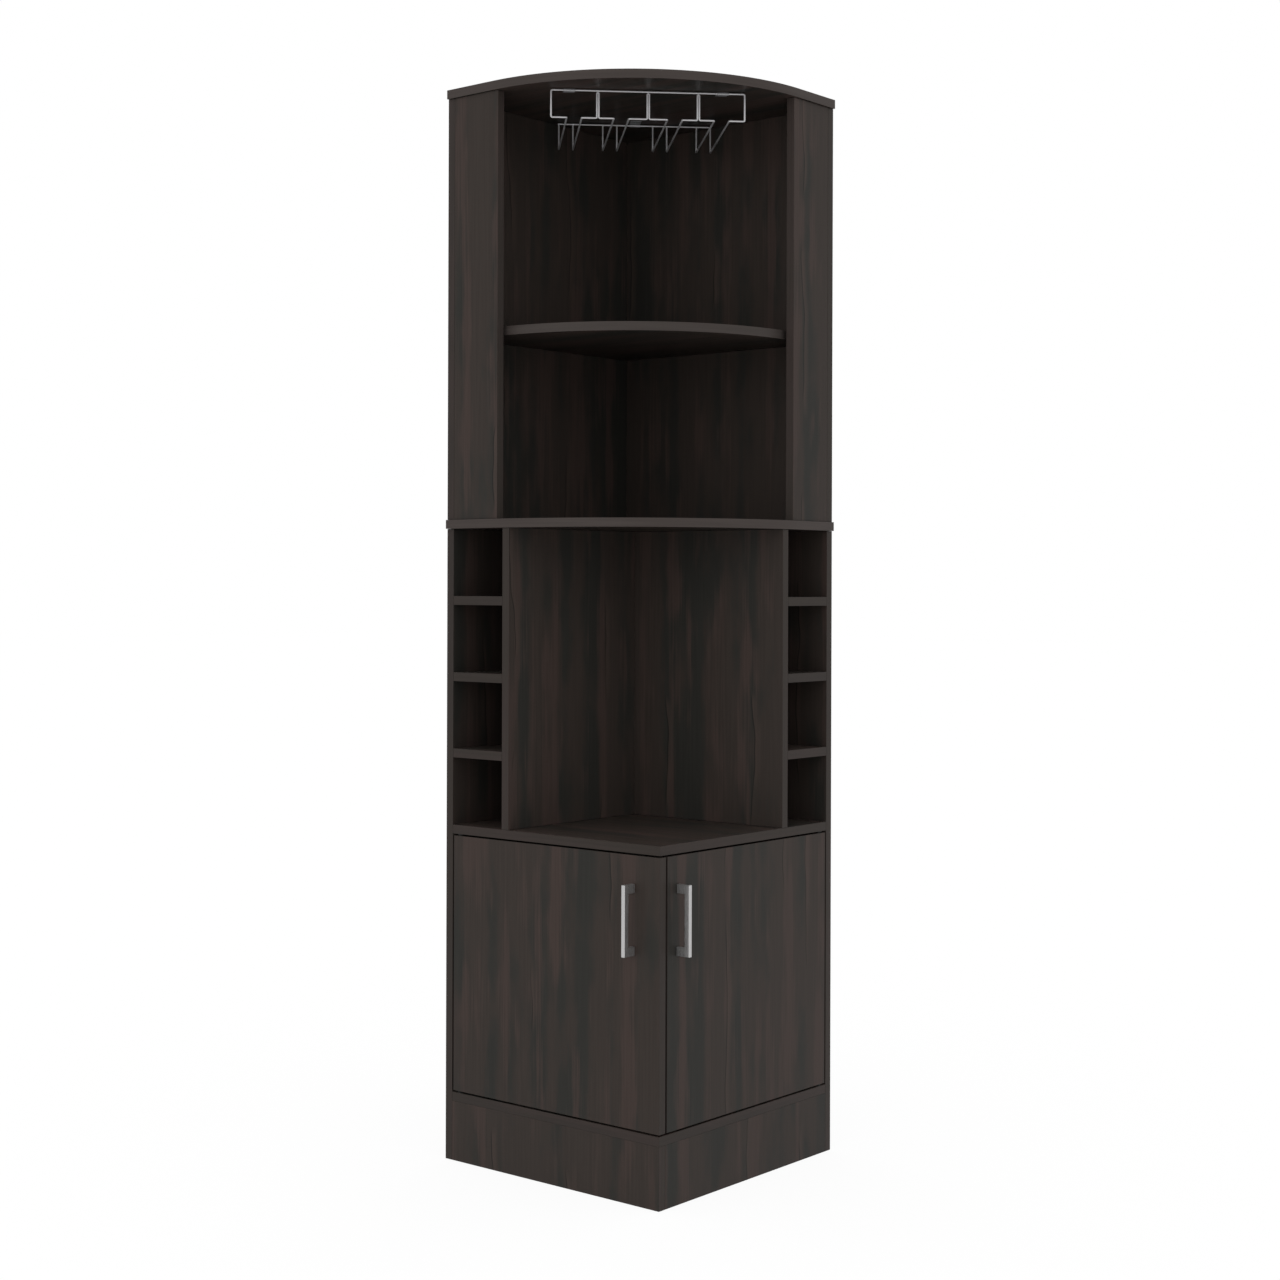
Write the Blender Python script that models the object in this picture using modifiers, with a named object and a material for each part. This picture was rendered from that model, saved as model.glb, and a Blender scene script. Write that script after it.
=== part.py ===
"""Corner bar cabinet with two doors, eight bottle cubbies and a hanging stemware rack.

Lengths are in metres. Every piece is placed from the room corner: x runs along the back wall, -y along
the left wall, so both front planes stand one SIDE away from the walls and meet at the front corner.
"""
import math

import bmesh
import bpy
from mathutils import Matrix, Vector

MM = 0.001

# Boards and plan
SIDE = 465.0 * MM               # room corner to each front plane
BOARD = 15.0 * MM
EDGE_ROUND = 0.5 * MM
SEAM = 0.3 * MM                 # gap between pieces that touch
OVERRUN = 1.0 * MM              # how far a cut runs past a surface
MERGE = 0.01 * MM               # points closer than this are one point

# Heights, floor to top
PLINTH_HEIGHT = 100.0 * MM
DOOR_OPENING = 434.5 * MM
CUBBY_HEIGHT = 113.25 * MM
CUBBY_ROWS = 4
LOWER_BAY = 306.0 * MM
UPPER_BAY = 388.5 * MM

# Cubby columns and front stiles
CUBBY_WIDTH = 113.0 * MM
STILE_WIDTH = 100.0 * MM

# Rounded boards
OVERHANG = 4.0 * MM             # middle and top board, past the front planes
BOARD_STRAIGHT = 106.0 * MM     # straight front edge from each wall, before the arc starts
SHELF_SETBACK = 10.0 * MM       # back of the stiles to the upper shelf's front
SHELF_STRAIGHT = 100.0 * MM
ARC_STEPS = 24

# Doors
DOOR_GAP = 3.0 * MM             # wall panel to the door's edge
CORNER_GAP = 4.0 * MM           # behind the left door's end, before the right door starts

# Door handles
HANDLE_PITCH = 96.0 * MM        # between the two screws
HANDLE_END = 8.2 * MM           # screw centre to the handle's end
HANDLE_POST = 14.4 * MM
HANDLE_WIDTH = 7.0 * MM         # across the door
HANDLE_BAR = 9.5 * MM           # out from the door
HANDLE_REACH = 25.5 * MM
HANDLE_FROM_TOP = 44.1 * MM     # door's top edge to the handle's end
HANDLE_FROM_END = {"left": 53.0 * MM, "right": 25.4 * MM}   # door's free end to the handle's middle
HANDLE_ROUND = 0.8 * MM

# Door pivots
PIVOT_INSET = 11.0 * MM         # door edge to the pivot's axis
PIN_RADIUS = 3.0 * MM
PIN_IN_DOOR = 20.0 * MM
PIN_IN_BUSH = 7.5 * MM
PIN_TIP_GAP = 0.5 * MM          # pin's tip to the bush's floor
COLLAR = 1.3 * MM
COLLAR_LIP = 2.5 * MM           # how far the collar stands out from the pin
BUSH_WALL = 1.7 * MM
BUSH_FLOOR = 1.0 * MM
FLANGE = 0.8 * MM
FLANGE_LIP = 1.5 * MM           # how far the flange stands out from the sleeve

# Magnetic catches and their strike plates
CATCH_SPACE = 14.2 * MM         # between a catch's end and the other door's catch
CATCH_LENGTH = 40.0 * MM
CATCH_DEPTH = 14.0 * MM
CATCH_HEIGHT = 13.0 * MM
CATCH_SCREW_SPACING = 26.0 * MM
STRIKE_TAIL = 12.0 * MM         # runs past the catch, for the plate's screw
STRIKE_HEIGHT = 12.0 * MM
STRIKE = 1.2 * MM
STRIKE_FROM_TOP = 1.0 * MM
STRIKE_ROUND = 0.25 * MM

# Dowels, glued into the board that meets another one by its edge
JOINT_INSET = 65.0 * MM         # board end to its first dowel
DOWEL_STAGGER = 30.0 * MM       # keeps the dowels over and under the middle board apart
DOWEL_RADIUS = 4.0 * MM
DOWEL_IN_FACE = 10.0 * MM       # depth in the board that it meets square on its face
DOWEL_IN_EDGE = 20.0 * MM
CORNER_DOWEL_SHARES = (0.12, 0.42, 0.88)
PLINTH_DOWEL_SHARES = (0.28, 0.72)
STILE_DOWEL_SHARES = (0.25, 0.75)

# Small pan-head screws
HANDLE_SCREW_RADIUS = 2.0 * MM
HANDLE_SCREW_DEPTH = 9.0 * MM   # how far it goes into the handle's post
HANDLE_HEAD_RADIUS = 4.2 * MM
HANDLE_HEAD = 2.2 * MM
SMALL_SCREW_RADIUS = 1.5 * MM
SMALL_SCREW_DEPTH = 9.0 * MM    # how far it goes into the board
SMALL_HEAD_RADIUS = 2.6 * MM
SMALL_HEAD = 1.5 * MM

# Stemware rack
RACK_SETBACK = 227.0 * MM       # front corner to the rack's front wires, along the diagonal
RACK_FROM_WALL = 14.3 * MM      # wall panel to the back corner of the rack
RACK_DROP = 45.0 * MM           # top rail to the runs, wire middle to wire middle
WIRE_RADIUS = 1.5 * MM
WIRE_BEND = 2.4 * MM
WIRE_BEND_STEPS = 3
END_FOOT = 25.8 * MM            # sideways foot at each end of the rack
SLOT_PITCH = 25.0 * MM          # across a stem slot, wire middle to wire middle
SIDE_HAIRPIN = 53.0 * MM
CENTRE_HAIRPIN = 64.0 * MM
HAIRPIN_GAP = 0.8 * MM          # between the two uprights of a hairpin
HAIRPIN_TURN_SHARE = 0.95       # bend radius of its closed end, of half the pitch of the uprights
CLIP = 1.0 * MM
CLIP_WIDTH = 19.0 * MM
CLIP_TONGUE = 26.0 * MM
CLIP_SCREW_FROM_WIRE = 15.0 * MM
CLIP_FROM_END = {"left": 30.2 * MM, "right": 36.4 * MM}     # rack's end to a front clip's middle
CLIP_ARC_STEPS = 7
CLIP_ARC = math.radians(225)

# Sides of turned pieces
FINE_SIDES = 16
SMALL_SIDES = 10
DOWEL_SIDES = 8

# Levels and lines that follow from the sizes above
INSIDE = BOARD + SEAM                                   # inner face of a wall panel, with its seam
BOTTOM_Z = PLINTH_HEIGHT
BENCH_Z = BOTTOM_Z + BOARD + DOOR_OPENING
BENCH_TOP = BENCH_Z + BOARD
MIDDLE_Z = BENCH_TOP + CUBBY_ROWS * (CUBBY_HEIGHT + BOARD) - BOARD
MIDDLE_TOP = MIDDLE_Z + BOARD
SHELF_Z = MIDDLE_TOP + LOWER_BAY
TOP_Z = SHELF_Z + BOARD + UPPER_BAY
PIVOT_GAP = SEAM + FLANGE + SEAM + COLLAR + SEAM        # door's end to the board that carries it
DOOR_LOW = BOTTOM_Z + BOARD + PIVOT_GAP
DOOR_HIGH = BENCH_Z - PIVOT_GAP
DIVIDER_FACE = BOARD + CUBBY_WIDTH                      # cubby side of a divider
DIVIDER_BACK = DIVIDER_FACE + BOARD
FULL_DEPTH = SIDE - INSIDE                              # front plane to the other wall panel
RIGHT_CUBBY_DEPTH = SIDE - DIVIDER_BACK - SEAM          # front plane to the left divider
PIVOT_ALONG = BOARD + DOOR_GAP + PIVOT_INSET
SHELF_REACH = SIDE - BOARD - SHELF_SETBACK              # room corner to the upper shelf's front
DOOR_END = {"left": SIDE, "right": SIDE - BOARD - CORNER_GAP}
CUBBY_DEPTH = {"left": FULL_DEPTH, "right": RIGHT_CUBBY_DEPTH}
PANEL_DEPTH = {"left": SIDE, "right": FULL_DEPTH}
REACH = SIDE + HANDLE_REACH                             # room corner to the handles' outer faces
RAIL_DROP = SEAM + CLIP + SEAM + WIRE_RADIUS            # top board to the rails' middle
FOOT_START = SLOT_PITCH + SIDE_HAIRPIN + SLOT_PITCH + CENTRE_HAIRPIN / 2    # rack's middle to its feet
RACK_HALF = FOOT_START + END_FOOT
RACK_INSET = SIDE - RACK_SETBACK / math.sqrt(2)         # room corner to the rack's front, along a wall
RACK_BACK = BOARD + RACK_FROM_WALL + WIRE_RADIUS        # room corner to the rack's back corner
RACK_DEPTH = (RACK_INSET - RACK_BACK) * math.sqrt(2) - FOOT_START
HAIRPIN_PITCH = 2 * WIRE_RADIUS + HAIRPIN_GAP

# Colour, roughness and metallic value of each finish
FINISHES = {
    "wenge_melamine": ((0.038, 0.031, 0.028), 0.45, 0.0),
    "satin_aluminium": ((0.60, 0.60, 0.61), 0.35, 1.0),
    "satin_steel_wire": ((0.52, 0.52, 0.53), 0.30, 1.0),
    "zinc_steel": ((0.55, 0.56, 0.58), 0.40, 1.0),
    "white_nylon": ((0.78, 0.78, 0.75), 0.50, 0.0),
    "black_plastic": ((0.02, 0.02, 0.02), 0.50, 0.0),
}

bores = {}      # piece name to the cutter shapes that go into it
pegs = {}       # board name to the dowels glued into it
frames = {}     # frame name to its empty and its place from the room corner


def clear_scene():
    """Start from an empty scene."""
    for item in list(bpy.data.objects):
        bpy.data.objects.remove(item, do_unlink=True)


def make_collection(name):
    """Add a collection to the scene."""
    collection = bpy.data.collections.new(name)
    bpy.context.scene.collection.children.link(collection)
    return collection


def make_frame(name, place):
    """Add an empty that pieces hang from; place is its matrix from the room corner."""
    empty = bpy.data.objects.new(name, None)
    empty.empty_display_size = BOARD
    parts.objects.link(empty)
    if name == "room_corner":
        empty.location = (-REACH / 2, REACH / 2, 0)
    else:
        empty.parent = frames["room_corner"][0]
        empty.matrix_basis = place
    frames[name] = (empty, place)


def finish_material(piece_name, finish):
    """Make the Principled material of one piece."""
    colour, roughness, metallic = FINISHES[finish]
    material = bpy.data.materials.new(piece_name + "_" + finish)
    material.use_nodes = True
    shader = material.node_tree.nodes["Principled BSDF"]
    shader.inputs["Base Color"].default_value = (*colour, 1.0)
    shader.inputs["Roughness"].default_value = roughness
    shader.inputs["Metallic"].default_value = metallic
    return material


def hang(name, data, finish, frame="room_corner", place=None):
    """Make a named piece from its mesh or curve and hang it from a frame.

    place is the piece's matrix from the room corner.
    """
    piece = bpy.data.objects.new(name, data)
    parts.objects.link(piece)
    empty, frame_place = frames[frame]
    piece.parent = empty
    piece.matrix_basis = frame_place.inverted() @ (place or Matrix.Identity(4))
    data.materials.clear()
    data.materials.append(finish_material(name, finish))
    return piece


def spot(side, along, depth, z):
    """A point beside one front plane: along it from the wall, and behind it."""
    if side == "left":
        return Vector((along, depth - SIDE, z))
    return Vector((SIDE - depth, -along, z))


def way(side, along, depth, up):
    """A direction beside one front plane."""
    if side == "left":
        return Vector((along, depth, up))
    return Vector((-depth, -along, up))


def round_edges(piece, width, segments=1):
    """Round the sharp edges of a piece."""
    bevel = piece.modifiers.new("rounded_edges", "BEVEL")
    bevel.width = width
    bevel.segments = segments
    bevel.limit_method = "ANGLE"
    bevel.angle_limit = math.radians(60)


def block(name, corner, opposite, finish, frame="room_corner", rounding=EDGE_ROUND):
    """A straight board or block between two opposite corners."""
    low = Vector(map(min, corner, opposite))
    high = Vector(map(max, corner, opposite))
    mesh = bpy.data.meshes.new(name)
    shape = bmesh.new()
    bmesh.ops.create_cube(shape, size=1)
    bmesh.ops.scale(shape, vec=high - low, verts=shape.verts)
    shape.to_mesh(mesh)
    shape.free()
    piece = hang(name, mesh, finish, frame, Matrix.Translation((low + high) / 2))
    round_edges(piece, rounding)
    return piece


def side_board(name, side, along, depth, z, frame="room_corner"):
    """A board given by its ranges along, behind and above one front plane."""
    low = spot(side, along[0], depth[0], z[0])
    high = spot(side, along[1], depth[1], z[1])
    return block(name, low, high, "wenge_melamine", frame)


def outline_piece(name, points, thickness, finish, frame="room_corner", place=None):
    """A flat outline given its thickness, turned into a closed mesh."""
    curve = bpy.data.curves.new(name, "CURVE")
    curve.dimensions = "2D"
    curve.fill_mode = "BOTH"
    curve.extrude = thickness / 2
    spline = curve.splines.new("POLY")
    spline.points.add(len(points) - 1)
    for point, (x, y) in zip(spline.points, points):
        point.co = (x, y, 0, 1)
    spline.use_cyclic_u = True
    guide = bpy.data.objects.new(name + "_outline", curve)
    parts.objects.link(guide)
    depsgraph = bpy.context.evaluated_depsgraph_get()
    mesh = bpy.data.meshes.new_from_object(guide.evaluated_get(depsgraph))
    bpy.data.objects.remove(guide, do_unlink=True)
    shape = bmesh.new()
    shape.from_mesh(mesh)
    bmesh.ops.remove_doubles(shape, verts=shape.verts, dist=MERGE)
    shape.to_mesh(mesh)
    shape.free()
    mesh.name = name
    return hang(name, mesh, finish, frame, place)


def corner_outline(inner, reach, straight):
    """Outline of a board that sits in the room corner with a rounded front corner."""
    radius = reach - straight
    points = [(inner, -inner), (inner, -reach)]
    for step in range(ARC_STEPS + 1):
        turn = math.radians(90) * (step / ARC_STEPS - 1)
        points.append((straight + radius * math.cos(turn), -straight + radius * math.sin(turn)))
    points.append((reach, -inner))
    return points


def turned_mesh(profile, sides):
    """A turned body. The profile lists radius and height, from the top down its outer side."""
    mesh = bpy.data.meshes.new("profile")
    pairs = [(index, index + 1) for index in range(len(profile) - 1)]
    mesh.from_pydata([(radius, 0, height) for radius, height in profile], pairs, [])
    guide = bpy.data.objects.new("profile", mesh)
    parts.objects.link(guide)
    screw = guide.modifiers.new("turn", "SCREW")
    screw.axis = "Z"
    screw.steps = sides
    screw.render_steps = sides
    screw.use_merge_vertices = True
    screw.merge_threshold = MERGE
    depsgraph = bpy.context.evaluated_depsgraph_get()
    body = bpy.data.meshes.new_from_object(guide.evaluated_get(depsgraph))
    bpy.data.objects.remove(guide, do_unlink=True)
    return body


def joined_mesh(name, bodies):
    """One mesh that holds several separate bodies, each at its own matrix."""
    shape = bmesh.new()
    for body, place in bodies:
        count = len(shape.verts)
        shape.from_mesh(body)
        shape.verts.ensure_lookup_table()
        bmesh.ops.transform(shape, matrix=place, verts=shape.verts[count:])
    mesh = bpy.data.meshes.new(name)
    shape.to_mesh(mesh)
    shape.free()
    return mesh


def pointing(start, direction):
    """Matrix that stands a fastener at start with its tip, local -Z, along direction."""
    turn = Vector((0, 0, -1)).rotation_difference(direction)
    return Matrix.Translation(start) @ turn.to_matrix().to_4x4()


def add_piece(name, finish, body, place, frame="room_corner"):
    """Hang one copy of a ready body, shaded smooth."""
    piece = hang(name, body.copy(), finish, frame, place)
    piece.data.name = name
    piece.data.shade_smooth()
    piece.data.set_sharp_from_angle(angle=math.radians(40))


def bore(names, cutter, place):
    """Book a cutter shape that goes into the named pieces."""
    for name in names:
        bores.setdefault(name, []).append((cutter, place))


def plain_cutter(radius, above, below, sides):
    """Straight round cutter around its own axis."""
    return turned_mesh([(0, above), (radius, above), (radius, -below), (0, -below)], sides)


def pan_screw(radius, head_radius, head, length, sides):
    """Screw whose round head stands on the surface, and the bore that it needs."""
    screw = turned_mesh([(0, head + SEAM), (head_radius, head + SEAM), (head_radius, SEAM),
                         (radius, SEAM), (radius, -length), (0, -length)], sides)
    return screw, plain_cutter(radius + SEAM, OVERRUN, length + SEAM, sides)


def two_places(low, high):
    """The two dowel places of a board that runs from low to high."""
    return low + JOINT_INSET, high - JOINT_INSET


def rounded_path(points, bends):
    """Points of a bent wire: each inner point becomes an arc of its own bend radius."""
    path = [Vector(points[0])]
    for index, bend in enumerate(bends, start=1):
        corner = Vector(points[index])
        back = (Vector(points[index - 1]) - corner).normalized()
        onward = (Vector(points[index + 1]) - corner).normalized()
        half = back.angle(onward) / 2
        centre = corner + (back + onward).normalized() * bend / math.sin(half)
        spoke = corner + back * bend / math.tan(half) - centre
        axis = spoke.cross(corner + onward * bend / math.tan(half) - centre)
        sweep = math.pi - 2 * half
        for step in range(WIRE_BEND_STEPS + 1):
            turn = Matrix.Rotation(sweep * step / WIRE_BEND_STEPS, 3, axis)
            path.append(centre + turn @ spoke)
    path.append(Vector(points[-1]))
    return path


def wire(name, path, frame):
    """A round wire along a path given in the frame's own axes."""
    curve = bpy.data.curves.new(name, "CURVE")
    curve.dimensions = "3D"
    curve.bevel_depth = WIRE_RADIUS
    curve.bevel_resolution = 2
    curve.use_fill_caps = True
    spline = curve.splines.new("POLY")
    spline.points.add(len(path) - 1)
    for point, place in zip(spline.points, path):
        point.co = (*place, 1)
    return hang(name, curve, "satin_steel_wire", frame, frames[frame][1])


def wall_panels():
    """Two panels against the left wall and two against the back wall."""
    for side in ("left", "right"):
        depth = (0, PANEL_DEPTH[side])
        side_board(side + "_lower_wall_panel", side, (0, BOARD), depth, (0, MIDDLE_Z - SEAM))
        side_board(side + "_upper_wall_panel", side, (0, BOARD), depth,
                   (MIDDLE_TOP + SEAM, TOP_Z - SEAM))


def plinth():
    """Two boards on the floor; the left one covers the right one's end."""
    ends = {"left": SIDE, "right": SIDE - BOARD - SEAM}
    for side in ("left", "right"):
        side_board(side + "_plinth_board", side, (INSIDE, ends[side]), (0, BOARD),
                   (0, PLINTH_HEIGHT - SEAM))


def square_boards():
    """The bottom board under the doors and the bench board over them."""
    for name, z in (("bottom_board", BOTTOM_Z), ("bench_board", BENCH_Z)):
        side_board(name, "left", (INSIDE, SIDE), (0, FULL_DEPTH), (z, z + BOARD))


def cubbies():
    """A divider and three shelves in each bottle column."""
    for side in ("left", "right"):
        depth = (0, CUBBY_DEPTH[side])
        side_board(side + "_cubby_divider", side, (DIVIDER_FACE, DIVIDER_BACK), depth,
                   (BENCH_TOP + SEAM, MIDDLE_Z - SEAM))
        for row in range(1, CUBBY_ROWS):
            z = cubby_shelf_z(row)
            side_board(side + "_cubby_shelf_" + str(row), side, (INSIDE, DIVIDER_FACE - SEAM),
                       depth, (z, z + BOARD))


def cubby_shelf_z(row):
    """Underside of a cubby shelf, counted from the bench board."""
    return BENCH_TOP + row * CUBBY_HEIGHT + (row - 1) * BOARD


def rounded_boards():
    """Middle board, upper shelf and top board."""
    flush = corner_outline(0, SIDE + OVERHANG, BOARD_STRAIGHT)
    shelf = corner_outline(INSIDE, SHELF_REACH, SHELF_STRAIGHT)
    for name, points, z in (("middle_board", flush, MIDDLE_Z), ("upper_shelf", shelf, SHELF_Z),
                            ("top_board", flush, TOP_Z)):
        piece = outline_piece(name, points, BOARD, "wenge_melamine",
                              place=Matrix.Translation((0, 0, z + BOARD / 2)))
        round_edges(piece, EDGE_ROUND)


def stiles():
    """The upright boards that flank the upper bays."""
    for side in ("left", "right"):
        side_board(side + "_front_stile", side, (INSIDE, BOARD + STILE_WIDTH), (0, BOARD),
                   (MIDDLE_TOP + SEAM, TOP_Z - SEAM))


def doors():
    """Two inset doors, each hung from the empty on its pivot axis."""
    for side in ("left", "right"):
        make_frame(side + "_door_axis", Matrix.Translation(spot(side, PIVOT_ALONG, BOARD / 2, 0)))
        side_board(side + "_door", side, (BOARD + DOOR_GAP, DOOR_END[side]), (0, BOARD),
                   (DOOR_LOW, DOOR_HIGH), side + "_door_axis")


def handles():
    """A C-shaped bar on each door, with its two screws from inside."""
    half = HANDLE_PITCH / 2 + HANDLE_END
    inner = half - HANDLE_POST
    grip = HANDLE_REACH - HANDLE_BAR
    height = DOOR_HIGH - HANDLE_FROM_TOP - half
    outline = [(SEAM, -half), (HANDLE_REACH, -half), (HANDLE_REACH, half), (SEAM, half),
               (SEAM, inner), (grip, inner), (grip, -inner), (SEAM, -inner)]
    screw, cutter = pan_screw(HANDLE_SCREW_RADIUS, HANDLE_HEAD_RADIUS, HANDLE_HEAD,
                              BOARD + HANDLE_SCREW_DEPTH, FINE_SIDES)
    for side in ("left", "right"):
        frame = side + "_door_axis"
        along = DOOR_END[side] - HANDLE_FROM_END[side]
        outward = way(side, 0, -1, 0)
        upward = Vector((0, 0, 1))
        axes = Matrix((outward, upward, outward.cross(upward))).transposed()
        place = Matrix.Translation(spot(side, along, 0, height)) @ axes.to_4x4()
        handle = outline_piece(side + "_handle", outline, HANDLE_WIDTH, "satin_aluminium", frame,
                               place)
        round_edges(handle, HANDLE_ROUND, 2)
        for level, step in (("lower", -HANDLE_PITCH / 2), ("upper", HANDLE_PITCH / 2)):
            start = pointing(spot(side, along, BOARD, height + step), outward)
            add_piece(side + "_" + level + "_handle_screw", "zinc_steel", screw, start, frame)
            bore([side + "_door", side + "_handle"], cutter, start)


def pivots():
    """Collared pins in each door's ends, turning in bushes let into the boards."""
    hollow = PIN_RADIUS + SEAM
    collar, collar_top = PIN_RADIUS + COLLAR_LIP, SEAM + COLLAR
    tip = PIVOT_GAP + PIN_IN_BUSH
    pin = turned_mesh([(0, tip), (PIN_RADIUS, tip), (PIN_RADIUS, collar_top),
                       (collar, collar_top), (collar, SEAM), (PIN_RADIUS, SEAM),
                       (PIN_RADIUS, -PIN_IN_DOOR), (0, -PIN_IN_DOOR)], FINE_SIDES)
    pin_bore = plain_cutter(hollow, OVERRUN, PIN_IN_DOOR + SEAM, FINE_SIDES)
    sleeve, flange_top = hollow + BUSH_WALL, SEAM + FLANGE
    flange = sleeve + FLANGE_LIP
    floor = -PIN_IN_BUSH - PIN_TIP_GAP
    bottom = floor - BUSH_FLOOR
    bush = turned_mesh([(0, floor), (hollow, floor), (hollow, flange_top),
                        (flange, flange_top), (flange, SEAM), (sleeve, SEAM),
                        (sleeve, bottom), (0, bottom)], FINE_SIDES)
    bush_bore = plain_cutter(sleeve + SEAM, OVERRUN, SEAM - bottom, FINE_SIDES)
    down, up = Vector((0, 0, -1)), Vector((0, 0, 1))
    for side in ("left", "right"):
        for level, door_z, board_z, inward, board in (
                ("lower", DOOR_LOW, BOTTOM_Z + BOARD, up, "bottom_board"),
                ("upper", DOOR_HIGH, BENCH_Z, down, "bench_board")):
            in_door = pointing(spot(side, PIVOT_ALONG, BOARD / 2, door_z), inward)
            in_board = pointing(spot(side, PIVOT_ALONG, BOARD / 2, board_z), -inward)
            add_piece(side + "_" + level + "_door_pin", "zinc_steel", pin, in_door,
                      side + "_door_axis")
            bore([side + "_door"], pin_bore, in_door)
            add_piece(side + "_" + level + "_door_bush", "white_nylon", bush, in_board)
            bore([board], bush_bore, in_board)


def catches():
    """A magnetic catch under the bench board for each door, and the door's strike plate."""
    strike_back = BOARD + SEAM + STRIKE
    catch_front = strike_back + SEAM
    middle = SIDE - catch_front - CATCH_DEPTH - CATCH_SPACE - CATCH_LENGTH / 2
    catch_low = BENCH_Z - SEAM - CATCH_HEIGHT
    strike_high = DOOR_HIGH - STRIKE_FROM_TOP
    strike_low = strike_high - STRIKE_HEIGHT
    up = Vector((0, 0, 1))
    catch_screw, catch_cutter = pan_screw(SMALL_SCREW_RADIUS, SMALL_HEAD_RADIUS, SMALL_HEAD,
                                          CATCH_HEIGHT + SEAM + SMALL_SCREW_DEPTH, SMALL_SIDES)
    strike_screw, strike_cutter = pan_screw(SMALL_SCREW_RADIUS, SMALL_HEAD_RADIUS, SMALL_HEAD,
                                            STRIKE + SEAM + SMALL_SCREW_DEPTH, SMALL_SIDES)
    for side in ("left", "right"):
        name = side + "_door_catch"
        block(name, spot(side, middle - CATCH_LENGTH / 2, catch_front, catch_low),
              spot(side, middle + CATCH_LENGTH / 2, catch_front + CATCH_DEPTH, BENCH_Z - SEAM),
              "black_plastic")
        frame = side + "_door_axis"
        plate = side + "_strike_plate"
        strike_end = middle - CATCH_LENGTH / 2 - STRIKE_TAIL
        block(plate, spot(side, strike_end, BOARD + SEAM, strike_low),
              spot(side, middle + CATCH_LENGTH / 2, strike_back, strike_high), "zinc_steel",
              frame, STRIKE_ROUND)
        for end, step in (("inner", -CATCH_SCREW_SPACING / 2), ("outer", CATCH_SCREW_SPACING / 2)):
            start = pointing(spot(side, middle + step, catch_front + CATCH_DEPTH / 2, catch_low), up)
            add_piece(side + "_catch_" + end + "_screw", "zinc_steel", catch_screw, start)
            bore([name, "bench_board"], catch_cutter, start)
        start = pointing(spot(side, strike_end + STRIKE_TAIL / 2, strike_back,
                              (strike_low + strike_high) / 2), way(side, 0, -1, 0))
        add_piece(side + "_strike_screw", "zinc_steel", strike_screw, start, frame)
        bore([plate, side + "_door"], strike_cutter, start)


def dowels():
    """Dowels glued into the edge of each board that meets the face of another."""
    peg = plain_cutter(DOWEL_RADIUS, DOWEL_IN_EDGE, DOWEL_IN_FACE, DOWEL_SIDES)
    socket = plain_cutter(DOWEL_RADIUS + SEAM, OVERRUN, DOWEL_IN_FACE + SEAM, DOWEL_SIDES)
    down, up = Vector((0, 0, -1)), Vector((0, 0, 1))

    def join(board, to, start, direction):
        place = pointing(start, direction)
        pegs.setdefault(board, []).append((peg, place))
        bore([to], socket, place)

    for side in ("left", "right"):
        lower, upper = side + "_lower_wall_panel", side + "_upper_wall_panel"
        divider, stile = side + "_cubby_divider", side + "_front_stile"
        to_wall, to_divider = way(side, -1, 0, 0), way(side, 1, 0, 0)
        panel_line, divider_line = BOARD / 2, DIVIDER_FACE + BOARD / 2
        for along in two_places(INSIDE, SIDE - BOARD):
            join(side + "_plinth_board", "bottom_board",
                 spot(side, along, BOARD / 2, BOTTOM_Z), up)
        for depth in two_places(0, FULL_DEPTH):
            for board, z in (("bottom_board", BOTTOM_Z), ("bench_board", BENCH_Z)):
                join(board, lower, spot(side, BOARD, depth, z + BOARD / 2), to_wall)
        for depth in two_places(SIDE - SHELF_REACH, FULL_DEPTH):
            join("upper_shelf", upper, spot(side, BOARD, depth, SHELF_Z + BOARD / 2), to_wall)
        for depth in two_places(0, CUBBY_DEPTH[side]):
            join(divider, "bench_board", spot(side, divider_line, depth, BENCH_TOP), down)
            join(divider, "middle_board", spot(side, divider_line, depth, MIDDLE_Z), up)
            for row in range(1, CUBBY_ROWS):
                shelf, z = side + "_cubby_shelf_" + str(row), cubby_shelf_z(row) + BOARD / 2
                join(shelf, lower, spot(side, BOARD, depth, z), to_wall)
                join(shelf, divider, spot(side, DIVIDER_FACE, depth, z), to_divider)
        for depth in two_places(0, PANEL_DEPTH[side]):
            join(lower, "middle_board", spot(side, panel_line, depth, MIDDLE_Z), up)
            join(upper, "middle_board",
                 spot(side, panel_line, depth + DOWEL_STAGGER, MIDDLE_TOP), down)
            join(upper, "top_board", spot(side, panel_line, depth, TOP_Z), up)
        for share in STILE_DOWEL_SHARES:
            along = BOARD + share * STILE_WIDTH
            join(stile, "middle_board", spot(side, along, BOARD / 2, MIDDLE_TOP), down)
            join(stile, "top_board", spot(side, along, BOARD / 2, TOP_Z), up)
    into_left = way("right", 0, 1, 0)
    for level, low, high in (("lower", 0, MIDDLE_Z), ("upper", MIDDLE_TOP, TOP_Z)):
        for share in CORNER_DOWEL_SHARES:
            join("right_" + level + "_wall_panel", "left_" + level + "_wall_panel",
                 spot("right", BOARD / 2, SIDE - BOARD, low + share * (high - low)), into_left)
    for z in two_places(BENCH_TOP, MIDDLE_Z):
        join("right_cubby_divider", "left_cubby_divider",
             spot("right", DIVIDER_FACE + BOARD / 2, SIDE - DIVIDER_BACK, z), into_left)
    for share in PLINTH_DOWEL_SHARES:
        join("right_plinth_board", "left_plinth_board",
             spot("right", SIDE - BOARD, BOARD / 2, share * PLINTH_HEIGHT),
             way("right", 1, 0, 0))


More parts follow.
